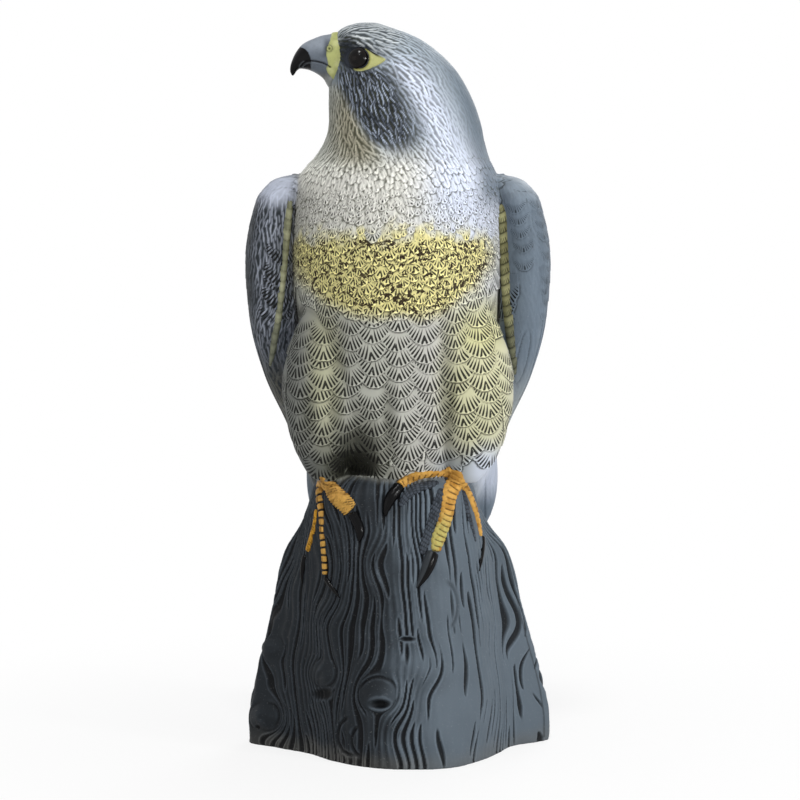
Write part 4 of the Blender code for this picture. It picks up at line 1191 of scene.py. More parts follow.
@dataclass(frozen=True)
class Paint:
    """The sprayed colours of the figure and where each goes, painted shade and painted highlight among them."""

    white: tuple = (209, 208, 201)
    blue_white: tuple = (206, 213, 230)
    cream: tuple = (202, 203, 192)
    grey: tuple = (84, 85, 78)
    olive: tuple = (58, 60, 42)
    beige: tuple = (158, 153, 134)
    yellow: tuple = (218, 209, 141)
    pale_yellow: tuple = (205, 203, 150)
    crown: tuple = (146, 157, 167)
    nape: tuple = (96, 108, 120)
    slate: tuple = (102, 114, 126)
    dark_slate: tuple = (62, 68, 73)
    cheek: tuple = (24, 29, 38)
    cheek_light: tuple = (154, 164, 180)
    seam_and_shade_black: tuple = (18, 18, 17)
    stump: tuple = (87, 97, 106)
    stump_dark: tuple = (34, 38, 42)
    stump_groove: tuple = (9, 10, 12)
    # Browner tint of wear at the stump's foot
    wear_and_highlight: tuple = (98, 95, 88)
    # Lines that run down the front sheet: the pale band, the throat's edge and the cheek's two edges
    band: tuple = ((392, 40), (408, 70), (426, 100), (442, 130), (450, 160), (458, 230))
    throat_edge: tuple = ((336, 80), (342, 100), (356, 130), (378, 158), (380, 170))
    cheek_front: tuple = ((337, 70), (341, 88), (352, 108), (372, 140), (394, 154))
    cheek_rear: tuple = ((390, 62), (402, 80), (416, 106), (424, 130), (420, 152))
    # Soft spots on the sheet
    bib_spot: Spot = Spot(392, 250, 99, 67, 0.14)
    shoulder_spot: Spot = Spot(478, 190, 46, 90, 0.85)
    # The belly's yellow tint: a spot and how strong it is
    tints: tuple = ((Spot(478, 388, 36, 74, 0.5), 1.0), (Spot(326, 372, 16, 66, 0.6), 0.5),
                    (Spot(482, 322, 34, 26, 0.6), 0.6))
    throat_spot: Spot = Spot(357, 128, 26, 44, 0.6)
    brim_spot: Spot = Spot(366, 36, 36, 20, 0.5)
    eye_spot: Spot = Spot(347, 53, 11, 16)
    wing_spot: Spot = Spot(278, 188, 22, 17, 0.5)
    flank_spot: Spot = Spot(487, 470, 17, 24, 0.6)

    def spray(self, skin: Skin, coat: Coat, relief: Relief) -> dict[str, np.ndarray]:
        """Work out the paint of the whole skin.

        Args:
            skin: The figure's fine skin.
            coat: The feathers on it.
            relief: The rest of its relief.

        Returns:
            The values that the shell's finish reads, by name.
        """
        down, facing = skin.down, -skin.normals[:, 1]
        haze = skin.noise.at(*(axis / 0.012 for axis in skin.points.T)) - 0.5
        front, rear = ease(-0.15, 0.25, facing), ease(0.25, -0.25, facing)
        stump, torso, wings = skin.share(Part.STUMP), skin.share(*BODY), skin.share(*WINGS)
        bare = 1 - stump
        # How deep each vertex lies under a feather's rim, for the painted shade below the rims
        under = coat.part_edges()
        paint, bib = self.spray_body(skin, coat, haze, front)
        paint, patch = self.spray_head(skin, paint, relief.stroke)
        paint = self.spray_wings(skin, paint, haze, relief.stroke, front, rear)
        # Lighter on the strokes' crests and darker between them: partly the streaked paint, partly painted highlight
        # and shade
        combed = relief.where * (0.14 + (0.40 + 0.24 * ease(110, 70, skin.side_down)) * torso)
        paint = paint * (1 + combed * (relief.stroke - 0.55))[:, None]
        plumed = np.maximum(front * np.maximum(torso, 0.5 * skin.share(Part.RIGHT_SIDE_WING)), rear)
        painted_hollow_shade, under = relief.low * (0.30 + 0.70 * plumed) * bare, under * plumed
        # Painted shade in the hollows and under the feathers' rims, olive above the bib and near black below it, then
        # painted shade in the dents between the belly's columns
        paint = sprayed(
            paint,
            (self.olive, 0.80 * np.maximum(painted_hollow_shade, under) * ease(262, 236, down)),
            (self.seam_and_shade_black, (0.78 * painted_hollow_shade + 0.50 * under) * ease(226, 262, down + 80 * (1 - torso))),
            (self.olive, relief.dent_shade * (1 - 0.5 * relief.high) * bare),
            (self.seam_and_shade_black, 0.85 * ease(0.45, 0.95, relief.dent_shade) * bare))
        paint = paint * (1 + 0.20 * (coat.tone - 0.5) * np.maximum(wings, rear))[:, None]
        # Crests of the relief lightened, painted highlight, and each feather's tip rim a little paler
        wear_and_highlight = (0.34 + 0.36 * bib) * relief.high * np.maximum(torso, 0.5 * wings + 0.6 * rear)
        paint = paint * (1 + wear_and_highlight + 0.08 * coat.edge * front * torso)[:, None]
        paint = paint + (self.spray_bark(skin, relief, haze, facing) - paint) * stump[:, None]
        # Painted shadow in the gap between each wing and the body, and a dark line along the moulds' parting seam
        gap = ease(0.10, 0.42, np.minimum(wings, 1 - wings)) * front * ease(192, 215, down)
        seam = bell(skin.points[:, 1], 0.55 * MM) * (1 - wings) * (skin.points[:, 2] > 2 * MM)
        paint = sprayed(paint, (self.seam_and_shade_black, 0.85 * gap * ease(430, 360, down)), (self.seam_and_shade_black, 0.55 * seam))
        soft = 1 - 0.40 * wings * (1 - front)
        # One of the values sets painted shade near each feather's root, less on the quills
        return {"paint": paint * (1 + 0.12 * haze)[:, None], "barb": coat.barb, "ridge": coat.ridge,
                "groove": coat.groove * bare * (1 - relief.quills) * ease(178, 205, skin.side_down) * soft,
                "wash": (0.24 + 0.2 * patch) * bare * (1 - 0.6 * relief.quills), "speck": bib * ease(232, 246, down)}

    def spray_bark(self, skin: Skin, relief: Relief, haze: np.ndarray, facing: np.ndarray) -> np.ndarray:
        """Spray the stump: darker on the left, partly in paint and partly painted shade, a browner tint of wear at
        the foot, painted highlight on the ridges and near black painted shade in the grooves.

        Args:
            skin: The figure's fine skin.
            relief: The bark's relief.
            haze: Soft noise round 0.
            facing: How far each vertex faces forward, -1 to 1.

        Returns:
            The paint.
        """
        # Darker towards the left: partly its paint, partly painted shade on the side away from the light
        left_dark_paint_and_shade = ease(452, 362, skin.across + 30 * haze) * ease(-0.4, 0.2, facing)
        wood = sprayed(self.stump, (self.stump_dark, left_dark_paint_and_shade),
                       (self.wear_and_highlight, 0.30 * ease(0.012, 0.001, skin.points[:, 2] + 0.006 * haze)))
        # Painted highlight on the bark's ridges, stronger on the dark left
        wood = wood * (1 + (0.25 + 1.45 * left_dark_paint_and_shade) * relief.high)[:, None]
        # Near black painted shade in the grooves, the hollows and the cuts
        return sprayed(wood, (self.stump_groove, np.maximum(0.92 * relief.dark, 0.6 * relief.low)))

    def spray_body(self, skin: Skin, coat: Coat, haze: np.ndarray,
                   front: np.ndarray) -> tuple[np.ndarray, np.ndarray]:
        """Spray the chest, the bib, the belly and the thighs.

        Args:
            skin: The figure's fine skin.
            coat: The feathers on it.
            haze: Soft noise round 0.
            front: How much each vertex faces forward.

        Returns:
            The paint, and the share of the bib's yellow.
        """
        across, down = skin.across, skin.down
        bib = self.bib_spot.at(across, down + 10 * haze) * front
        bib = bib * ease(224, 248, down + 18 * haze + 16 * (coat.tone - 0.5))
        tint = sum(share * spot.at(across, down) for spot, share in self.tints)
        lower = ease(440, 470, down) * front
        paint = sprayed(
            self.cream,
            # Whiter towards the right and greyer and darker towards the left: partly the airbrushed paint, partly
            # painted light on the right and painted shade on the left
            (self.white, ease(262, 210, down) + ease(370, 440, across)),
            (self.blue_white, self.shoulder_spot.at(across, down) * 0.9),
            (self.grey, np.maximum(0.60 * ease(392, 318, across + 20 * haze), 0.24) * ease(286, 330, down)),
            (self.dark_slate, 0.52 * ease(332, 284, across + 14 * haze) * ease(262, 322, down)),
            # Painted shade on the left of the chest
            (self.grey, 0.35 * ease(330, 300, across) * ease(170, 200, down) * ease(300, 240, down)),
            (self.yellow, 0.94 * bib), (self.pale_yellow, 0.62 * tint * (1 - bib) * front),
            (self.crown, 0.7 * lower * ease(420, 450, across)),
            (self.dark_slate, 0.5 * lower * ease(345, 325, across)))
        return paint, bib

    def spray_head(self, skin: Skin, paint: np.ndarray, stroke: np.ndarray) -> tuple[np.ndarray, np.ndarray]:
        """Spray the head and neck, alike on both sides.

        Args:
            skin: The figure's fine skin.
            paint: The paint so far.
            stroke: The fine strokes, 0 in a valley and 1 on a ridge.

        Returns:
            The paint, and the share of the dark cheek.
        """
        across, down = skin.side_across, skin.side_down
        torso = skin.share(Part.TORSO)
        valley = 1 - stroke
        throat = ease(-14, 2, left_of(self.throat_edge, across, down)) * ease(78, 92, down) * ease(182, 158, down)
        patch = (ease(8, -5, left_of(self.cheek_front, across, down))
                 * ease(-10, 22, left_of(self.cheek_rear, across, down))
                 * ease(62, 74, down) * ease(164, 136, down) * torso)
        brim = self.brim_spot.at(across, down) * torso
        # Painted shadow of the brow's overhang, a dark line above the eye
        brow_shadow = bell((down - 38) - 0.40 * (across - 345), 5.0) * ease(336, 345, across) * ease(400, 382, across)
        paint = sprayed(
            paint,
            (self.crown, ease(176, 130, down)),
            (self.blue_white, 0.95 * bell(left_of(self.band, across, down), 19.0) * ease(42, 82, down)
             * ease(240, 190, down)),
            (self.nape, 0.9 * ease(10, -12, left_of(NAPE, across, down)) * ease(222, 185, down)),
            (self.cream, 0.6 * throat),
            (self.beige, 0.95 * throat * self.throat_spot.at(across, down)),
            (self.olive, (0.15 + 0.62 * throat) * valley * torso * ease(172, 150, down)),
            (self.cheek, patch), (self.cheek_light, patch * stroke ** 4),
            (self.cheek, 0.62 * brim * valley ** 2), (self.white, 0.55 * brim * stroke ** 2),
            (self.cheek, 0.95 * self.eye_spot.at(across, down) * torso),
            (self.cheek, 0.95 * brow_shadow * torso * valley))
        return paint, patch

    def spray_wings(self, skin: Skin, paint: np.ndarray, haze: np.ndarray, stroke: np.ndarray, front: np.ndarray,
                    rear: np.ndarray) -> np.ndarray:
        """Spray the back, the wings and the tail.

        Args:
            skin: The figure's fine skin.
            paint: The paint so far.
            haze: Soft noise round 0.
            stroke: The fine strokes, 0 in a valley and 1 on a ridge.
            front: How much each vertex faces forward.
            rear: How much each vertex faces back.

        Returns:
            The paint.
        """
        across, down = skin.across, skin.down
        left, right, tail = (skin.share(part)[:, None] for part in (*WINGS, Part.TAIL))
        light = ease(244, 262, across + 10 * haze) * ease(182, 204, down) * ease(384, 320, down) * front
        paint = sprayed(paint, (self.slate, rear * ease(150, 195, skin.side_down)))
        plain = sprayed(self.slate, (self.crown, 0.55 * ease(212, 184, down)),
                        (self.cream, 0.35 * front * ease(350, 430, down)))
        # The left wing is darker than the right: partly its paint, partly painted shade on the side away from the
        # light
        mottled = sprayed(
            linear(self.dark_slate) * 0.6, (self.slate, rear),
            (self.blue_white, 0.75 * front * self.wing_spot.at(across, down)),
            (self.blue_white, 0.66 * light * stroke ** 2.2),
            (self.beige, 0.35 * front * ease(350, 400, down) * stroke))
        for own, share in ((plain, right), (mottled, left), (linear(self.slate), tail)):
            paint = paint + (own - paint) * share
        return sprayed(paint, (self.blue_white, 0.62 * (1 - rear) * self.flank_spot.at(across, down)))


class Value:
    """A shader socket that takes part in Python arithmetic."""

    def __init__(self, tree: bpy.types.NodeTree, socket: bpy.types.NodeSocket) -> None:
        """Wrap a node's output."""
        self.tree = tree
        self.socket = socket

    def _math(self, operation: str, *others: Value | float) -> Value:
        """Add a Math node on this value and others."""
        node = self.tree.nodes.new("ShaderNodeMath")
        node.operation = operation
        for place, value in enumerate((self, *others)):
            Finish.feed(self.tree, node.inputs[place], value)
        return Value(self.tree, node.outputs[0])

    def __add__(self, other: Value | float) -> Value:
        """Add."""
        return self._math("ADD", other)

    __radd__ = __add__

    def __sub__(self, other: Value | float) -> Value:
        """Subtract."""
        return self._math("SUBTRACT", other)

    def __rsub__(self, other: float) -> Value:
        """Subtract this value from a number."""
        return self._math("MULTIPLY", -1.0)._math("ADD", other)

    def __mul__(self, other: Value | float) -> Value:
        """Multiply."""
        return self._math("MULTIPLY", other)

    __rmul__ = __mul__

    def sine(self) -> Value:
        """Return the sine."""
        return self._math("SINE")

    def clamped(self) -> Value:
        """Return the value kept from 0 to 1."""
        held = self._math("ADD", 0.0)
        held.socket.node.use_clamp = True
        return held

    def stepped(self, low: float, high: float) -> Value:
        """Return a smooth step between two values."""
        node = self.tree.nodes.new("ShaderNodeMapRange")
        node.interpolation_type = "SMOOTHSTEP"
        Finish.feed(self.tree, node.inputs["Value"], self)
        node.inputs["From Min"].default_value = low
        node.inputs["From Max"].default_value = high
        return Value(self.tree, node.outputs[0])


class Finish:
    """Base of the procedural finishes: makes the material and adds nodes to it."""

    def start(self, name: str) -> None:
        """Make the material and its shader."""
        self.material = bpy.data.materials.new(name)
        self.material.use_nodes = True
        self.tree = self.material.node_tree
        self.shader = self.tree.nodes["Principled BSDF"]
        self.put("Metallic", 0.0)

    @staticmethod
    def feed(tree: bpy.types.NodeTree, socket: bpy.types.NodeSocket, value: object) -> None:
        """Link or set a socket."""
        if isinstance(value, Value):
            tree.links.new(value.socket, socket)
        elif isinstance(value, (tuple, list, np.ndarray)):
            wide = len(socket.default_value)
            socket.default_value = [*value, 1.0][:wide] if wide > len(value) else value
        else:
            socket.default_value = value

    def node(self, kind: str, inputs: dict, output: int | str = 0, **settings: object) -> Value:
        """Add a node.

        Args:
            kind: The node's type, without its ShaderNode prefix.
            inputs: What its sockets take, by name or number.
            output: Which output to return.
            **settings: The node's own settings, set first.

        Returns:
            The node's output.
        """
        made = self.tree.nodes.new("ShaderNode" + kind)
        for name, value in settings.items():
            setattr(made, name, value)
        for name, value in inputs.items():
            self.feed(self.tree, made.inputs[name], value)
        return Value(self.tree, made.outputs[output])

    def stored(self, name: str, output: str = "Fac") -> Value:
        """Return a value that the piece carries for each vertex."""
        return self.node("Attribute", {}, output, attribute_name=name)

    def place(self) -> Value:
        """Return the place on the piece, in metres."""
        return self.node("TexCoord", {}, "Object")

    def noise(self, scale: float, detail: float = 2.0, rough: float = 0.5) -> Value:
        """Return noise from 0 to 1 at a scale in lumps a metre."""
        return self.node("TexNoise", {"Vector": self.place(), "Scale": scale, "Detail": detail, "Roughness": rough})

    def mixed(self, share: Value | float, first: object, second: object) -> Value:
        """Return a colour between two, by a share."""
        return self.node("Mix", {0: share, 6: first, 7: second}, 2, data_type="RGBA")

    def bump(self, height: Value, distance: float, strength: float = 1.0) -> Value:
        """Return a normal from a height."""
        return self.node("Bump", {"Height": height, "Distance": distance, "Strength": strength}, "Normal")

    def put(self, name: str, value: object) -> None:
        """Set or link one of the shader's sockets."""
        self.feed(self.tree, self.shader.inputs[name], value)

    def shown(self) -> Value:
        """Return 1 for rays from the camera, off gloss and through glass, and 0 for the others."""
        camera, gloss, glass = (self.node("LightPath", {}, f"Is {kind} Ray")
                                for kind in ("Camera", "Glossy", "Transmission"))
        return (camera + gloss + glass).clamped()


@dataclass
class SprayedShell(Finish):
    """Matt sprayed paint over moulded plastic, black in the barbs' grooves."""

    roughness: float = 0.58
    ink: tuple = (0.006, 0.006, 0.005)
    speck: tuple = (0.022, 0.012, 0.008)
    dust: tuple = (0.8, 0.8, 0.8)
    barb_depth: float = 0.35 * MM

    def make(self) -> bpy.types.Material:
        """Return the material."""
        self.start("sprayed_shell")
        paint = self.stored("paint", "Color")
        groove = self.stored("groove")
        wave = (self.stored("barb") * (2 * math.pi)).sine() * 0.5 + 0.5
        cut = ((wave + groove * 0.60).stepped(0.93, 1.15) * groove.stepped(0.04, 0.30)).clamped()
        # Painted shade near each feather's root, where the feather above overlaps it
        valley = (1.0 - self.stored("ridge")).stepped(0.55, 1.0) * self.stored("wash")
        colour = self.mixed(valley * 0.55, paint, self.ink)
        colour = self.mixed(cut * groove.stepped(-0.25, 0.70) * 0.94, colour, self.ink)
        cluster = self.noise(130.0, 1.0) * 0.24 - 0.12
        fleck = (self.noise(440.0, 2.0, 0.55) + cluster).stepped(0.563, 0.592)
        colour = self.mixed(fleck * self.stored("speck").stepped(0.2, 0.6) * 0.95, colour, self.speck)
        dusted = self.noise(900.0, 3.0).stepped(0.60, 0.80) * 0.08
        self.put("Base Color", self.mixed(dusted, colour, self.dust))
        self.put("Roughness", self.noise(160.0).stepped(0.2, 0.8) * 0.16 + (self.roughness - 0.08))
        self.put("Normal", self.bump(cut * -1.0 + self.noise(2200.0, 2.0) * 0.10, self.barb_depth))
        self.put("Specular IOR Level", 0.10)
        return self.material


@dataclass
class Studio:
    """Pale floor, soft lights and the camera."""

    # Name, place, power in watts and size of each lamp
    lamps: tuple = (
        ("overhead", (-0.08, -0.68, 1.84), 13.0, 0.32), ("side", (1.50, -1.06, 0.50), 15.0, 0.32),
        ("upper", (-0.06, -1.25, 1.42), 2.6, 0.24), ("right", (1.08, -1.25, 0.52), 2.4, 0.24),
        ("fill", (-1.30, -1.00, 0.50), 1.8, 1.20), ("back", (0.50, 1.25, 0.95), 8.0, 0.90),
    )
    aim: tuple = (0.0, 0.0, 0.22)
    ambient: float = 0.31
    sensor: float = 36.0
    floor_half: float = 6.0
    floor_drop: float = 0.2 * MM
    # How far out the floor's shadow fades, and how much of the white shows at the figure
    shadow_reach: tuple = (0.10, 0.42)
    near_white: float = 0.78
    floor_colour: tuple = (0.88, 0.88, 0.88)
    white: tuple = (1.0, 1.0, 1.0)

    def build(self) -> None:
        """Make the studio."""
        scene = bpy.context.scene
        scene.view_settings.view_transform = "Standard"
        self.lay_floor()
        scene.world = bpy.data.worlds.new("studio")
        scene.world.use_nodes = True
        sky = Finish()
        sky.tree = scene.world.node_tree
        sky.shader = sky.tree.nodes["Background"]
        sky.put("Color", self.white)
        sky.put("Strength", sky.shown() * (1.0 - self.ambient) + self.ambient)
        for name, place, power, size in self.lamps:
            light = bpy.data.lights.new(name, "AREA")
            light.shape = "DISK"
            light.energy = power
            light.size = size
            self.point(placed(name, light), place, Vector(self.aim) - Vector(place))
        camera = bpy.data.cameras.new("camera")
        camera.sensor_width = self.sensor
        camera.lens = self.sensor * SHEET.distance / (2 * SHEET.middle * SHEET.step)
        scene.camera = placed("camera", camera)
        self.point(scene.camera, SHEET.eye, Vector(SHEET.ahead))

    @staticmethod
    def point(obj: bpy.types.Object, place: tuple | np.ndarray, way: Vector) -> None:
        """Set a lamp or the camera at a place and point it along a way."""
        obj.location = place
        obj.rotation_euler = way.to_track_quat("-Z", "Y").to_euler()

    def lay_floor(self) -> None:
        """Lay a pale floor that keeps the shadow near the figure and is white further out."""
        bm = bmesh.new()
        bmesh.ops.create_grid(bm, x_segments=1, y_segments=1, size=self.floor_half)
        bmesh.ops.translate(bm, vec=(0.0, 0.0, -self.floor_drop), verts=bm.verts)
        floor = object_from(bm, "floor")
        finish = Finish()
        finish.start("pale_floor")
        finish.put("Base Color", self.floor_colour)
        finish.put("Roughness", 0.9)
        far = finish.node("VectorMath", {0: finish.place()}, "Value", operation="LENGTH").stepped(*self.shadow_reach)
        white = finish.shown() * (far * (1.0 - self.near_white) + self.near_white)
        lit = Value(finish.tree, finish.shader.outputs[0])
        blend = finish.node("MixShader", {0: white, 1: lit, 2: finish.node("Emission", {"Color": self.white})})
        finish.feed(finish.tree, finish.tree.nodes["Material Output"].inputs["Surface"], blend)
        dress_in(floor, finish.material)


@dataclass
class Horn(Finish):
    """Smooth painted horn: satin where it is pale, glossy where it is black."""

    name: str = "horn"
    roughness: float = 0.42
    gloss_roughness: float = 0.16

    def make(self) -> bpy.types.Material:
        """Return the material."""
        self.start(self.name)
        gloss = self.stored("gloss")
        paint = self.stored("paint", "Color")
        streak = self.noise(420.0, 3.0, 0.6)
        shade = self.mixed(0.35, paint, (0.0, 0.0, 0.0))
        self.put("Base Color", self.mixed(streak.stepped(0.42, 0.70) * 0.35, paint, shade))
        self.put("Roughness", (self.gloss_roughness - self.roughness) * gloss + self.roughness + streak * 0.06)
        self.put("Specular IOR Level", 0.09)
        self.put("Normal", self.bump(self.noise(1500.0, 2.0), 0.08 * MM))
        return self.material


@dataclass
class EyeGloss(Finish):
    """A polished dark dome, faintly clouded brown."""

    black: tuple = (0.0022, 0.002, 0.002)
    brown: tuple = (0.006, 0.004, 0.003)
    roughness: float = 0.155

    def make(self) -> bpy.types.Material:
        """Return the material."""
        self.start("eye_dome")
        cloud = self.noise(240.0, 2.0).stepped(0.35, 0.75)
        self.put("Base Color", self.mixed(cloud, self.black, self.brown))
        self.put("Roughness", self.noise(900.0) * 0.02 + self.roughness)
        self.put("Specular IOR Level", 0.14)
        return self.material


@dataclass
class MouldedBlack(Finish):
    """Bare moulded plastic with a fine spark-eroded grain and scuffs."""

    black: tuple = (0.016, 0.018, 0.020)
    scuffed: tuple = (0.050, 0.052, 0.055)
    roughness: float = 0.46
    grain: float = 0.12 * MM

    def make(self) -> bpy.types.Material:
        """Return the material."""
        self.start("moulded_black")
        scuff = self.noise(60.0, 5.0, 0.7).stepped(0.55, 0.75)
        self.put("Base Color", self.mixed(scuff * 0.5, self.black, self.scuffed))
        self.put("Roughness", scuff * 0.12 + self.roughness)
        self.put("Normal", self.bump(self.noise(2600.0, 3.0), self.grain, 0.7))
        return self.material


@dataclass
class Bill:
    """The hooked bill with its cere, as sections between its top and bottom lines on the sheet."""

    sides: int = 132
    between: int = 8
    # Places of the top and bottom lines, in steps, and half width in millimetres
    sections: tuple = (
        (351.0, 40.0, 350.0, 76.0, 7.0), (344.0, 33.5, 343.0, 81.0, 10.6), (337.5, 33.2, 337.0, 86.0, 11.9),
        (329.0, 34.3, 329.5, 88.0, 11.2), (321.0, 35.8, 323.5, 79.0, 10.1), (313.5, 38.7, 316.5, 73.5, 9.0),
        (306.5, 41.8, 309.5, 70.3, 7.9), (300.5, 46.2, 303.5, 69.0, 6.6), (295.3, 53.3, 299.8, 68.9, 5.0),
        (292.0, 60.5, 297.6, 70.2, 3.7), (290.3, 66.5, 296.0, 72.0, 2.6), (290.2, 71.5, 294.6, 74.2, 1.6),
        (291.6, 75.0, 293.0, 75.8, 0.5),
    )
    tip_line: tuple = ((299.3, 47.0), (301.5, 47.4), (305.2, 48.9), (308.4, 52.5), (310.3, 56.9), (311.0, 61.3),
                       (310.8, 72.0))
    mouth: tuple = ((301.0, 66.2), (303.5, 63.5), (307.0, 61.6), (314.0, 61.1), (323.0, 63.2), (330.6, 67.0))
    cere_line: tuple = ((333.0, 30.0), (331.5, 36.0), (330.0, 41.5), (327.0, 49.0), (326.5, 55.5), (328.5, 64.0),
                        (326.5, 69.0), (328.0, 73.0), (334.5, 80.5), (336.0, 84.0))
    nostril: tuple = (329.4, 48.9)
    horn: tuple = (104, 112, 122)
    # Painted light on the bill's upper part
    horn_top_light: tuple = (140, 148, 158)
    horn_dark: tuple = (64, 70, 80)
    under: tuple = (96, 98, 96)
    chin: tuple = (150, 153, 152)
    cere: tuple = (180, 184, 120)
    cere_light: tuple = (206, 208, 152)
    cere_shade: tuple = (96, 98, 60)
    black: tuple = (14, 14, 15)
    # Painted highlight along the lip's crest on the black tip
    shine: tuple = (84, 88, 92)
    gape: tuple = (12, 12, 12)
    nostril_rim: tuple = (70, 74, 50)
    nostril_pit: tuple = (40, 42, 34)

    def build(self) -> bpy.types.Object:
        """Loft the bill, cut its mouth and nostrils and paint it."""
        turn = np.linspace(0.0, 2 * math.pi, self.sides, endpoint=False)
        lift = np.cos(turn)
        fat = np.sign(np.sin(turn)) * np.abs(np.sin(turn)) ** 0.88 * (1.0 - 0.16 * lift)
        rings = []
        for top_u, top_v, low_u, low_v, half in smooth_rows(self.sections, self.between):
            top, low = SHEET.on_middle(top_u, top_v), SHEET.on_middle(low_u, low_v)
            rings.append((top + low) / 2 + np.outer(lift, (top - low) / 2)
                         + np.outer(fat, [0.0, max(half, 0.2) * MM, 0.0]))
        obj = lofted("bill", rings)
        self.shape(obj.data)
        return obj

    @staticmethod
    def off_line(line: tuple, across: np.ndarray, down: np.ndarray) -> np.ndarray:
        """Return each place's distance from a drawn line, in steps."""
        points = smooth_rows(line, 6)
        best = np.full(len(across), 1e9)
        for (x0, y0), (x1, y1) in zip(points, points[1:]):
            dx, dy = x1 - x0, y1 - y0
            t = np.clip(((across - x0) * dx + (down - y0) * dy) / (dx * dx + dy * dy), 0.0, 1.0)
            best = np.minimum(best, np.hypot(across - x0 - t * dx, down - y0 - t * dy))
        return best

    def shape(self, mesh: bpy.types.Mesh) -> None:
        """Raise the cere, cut the mouth line and the nostrils, and keep the paint."""
        points, normals = points_of(mesh), normals_of(mesh)
        across, down = SHEET.places(near_side(points))
        flank = ease(0.15, 0.45, np.abs(normals[:, 1]))
        cere = ease(0.5, -0.5, left_of(self.cere_line, across, down))
        tip = ease(-0.45, 0.45, left_of(self.tip_line, across, down))
        gape = self.off_line(self.mouth, across, down)
        mouth = bell(gape, 0.75) * flank
        lip = bell(gape - 1.9, 0.9) * flank * (down > 60)
        hole = np.hypot(across - self.nostril[0], down - self.nostril[1])
        ring = bell(hole - 2.1, 0.75) * flank
        pit = bell(hole, 1.25, 4) * flank
        fold = bell(np.hypot(across - 330.5, down - 51.0) - 5.6, 0.7) * flank * (across < 327.5)
        height = 0.75 * cere - 0.65 * mouth + 0.22 * lip + 0.40 * ring - 0.9 * pit + 0.25 * fold
        move_to(mesh, points + normals * (height * MM)[:, None])
        noise = Noise(21).at(*(axis / 0.004 for axis in points.T))
        paint = sprayed(
            self.horn,
            # Painted light on the bill's upper part
            (self.horn_top_light, ease(56, 42, down)),
            (self.horn_dark, 0.8 * ease(321, 327, across) * ease(36, 44, down) * ease(60, 54, down)),
            (self.under, ease(70, 78, down)), (self.chin, ease(72, 78, down) * ease(322, 329, across)),
            (self.cere, cere), (self.cere_light, cere * ease(0.5, 0.8, noise) * 0.6),
            (self.cere_shade, 0.85 * cere * ease(60, 76, down) * ease(337, 341, across)),
            # The black tip, with a painted highlight along the lip's crest
            (self.black, tip), (self.shine, 0.7 * tip * bell(gape - 1.6, 0.7) * (down > 61) * flank),
            (self.gape, 1.25 * mouth), (self.nostril_rim, 0.75 * bell(hole - 3.3, 0.7) * flank),
            (self.nostril_pit, 0.9 * pit))
        keep_values(mesh, "paint", paint)
        keep_values(mesh, "gloss", np.clip(tip + 0.15, 0.0, 1.0))


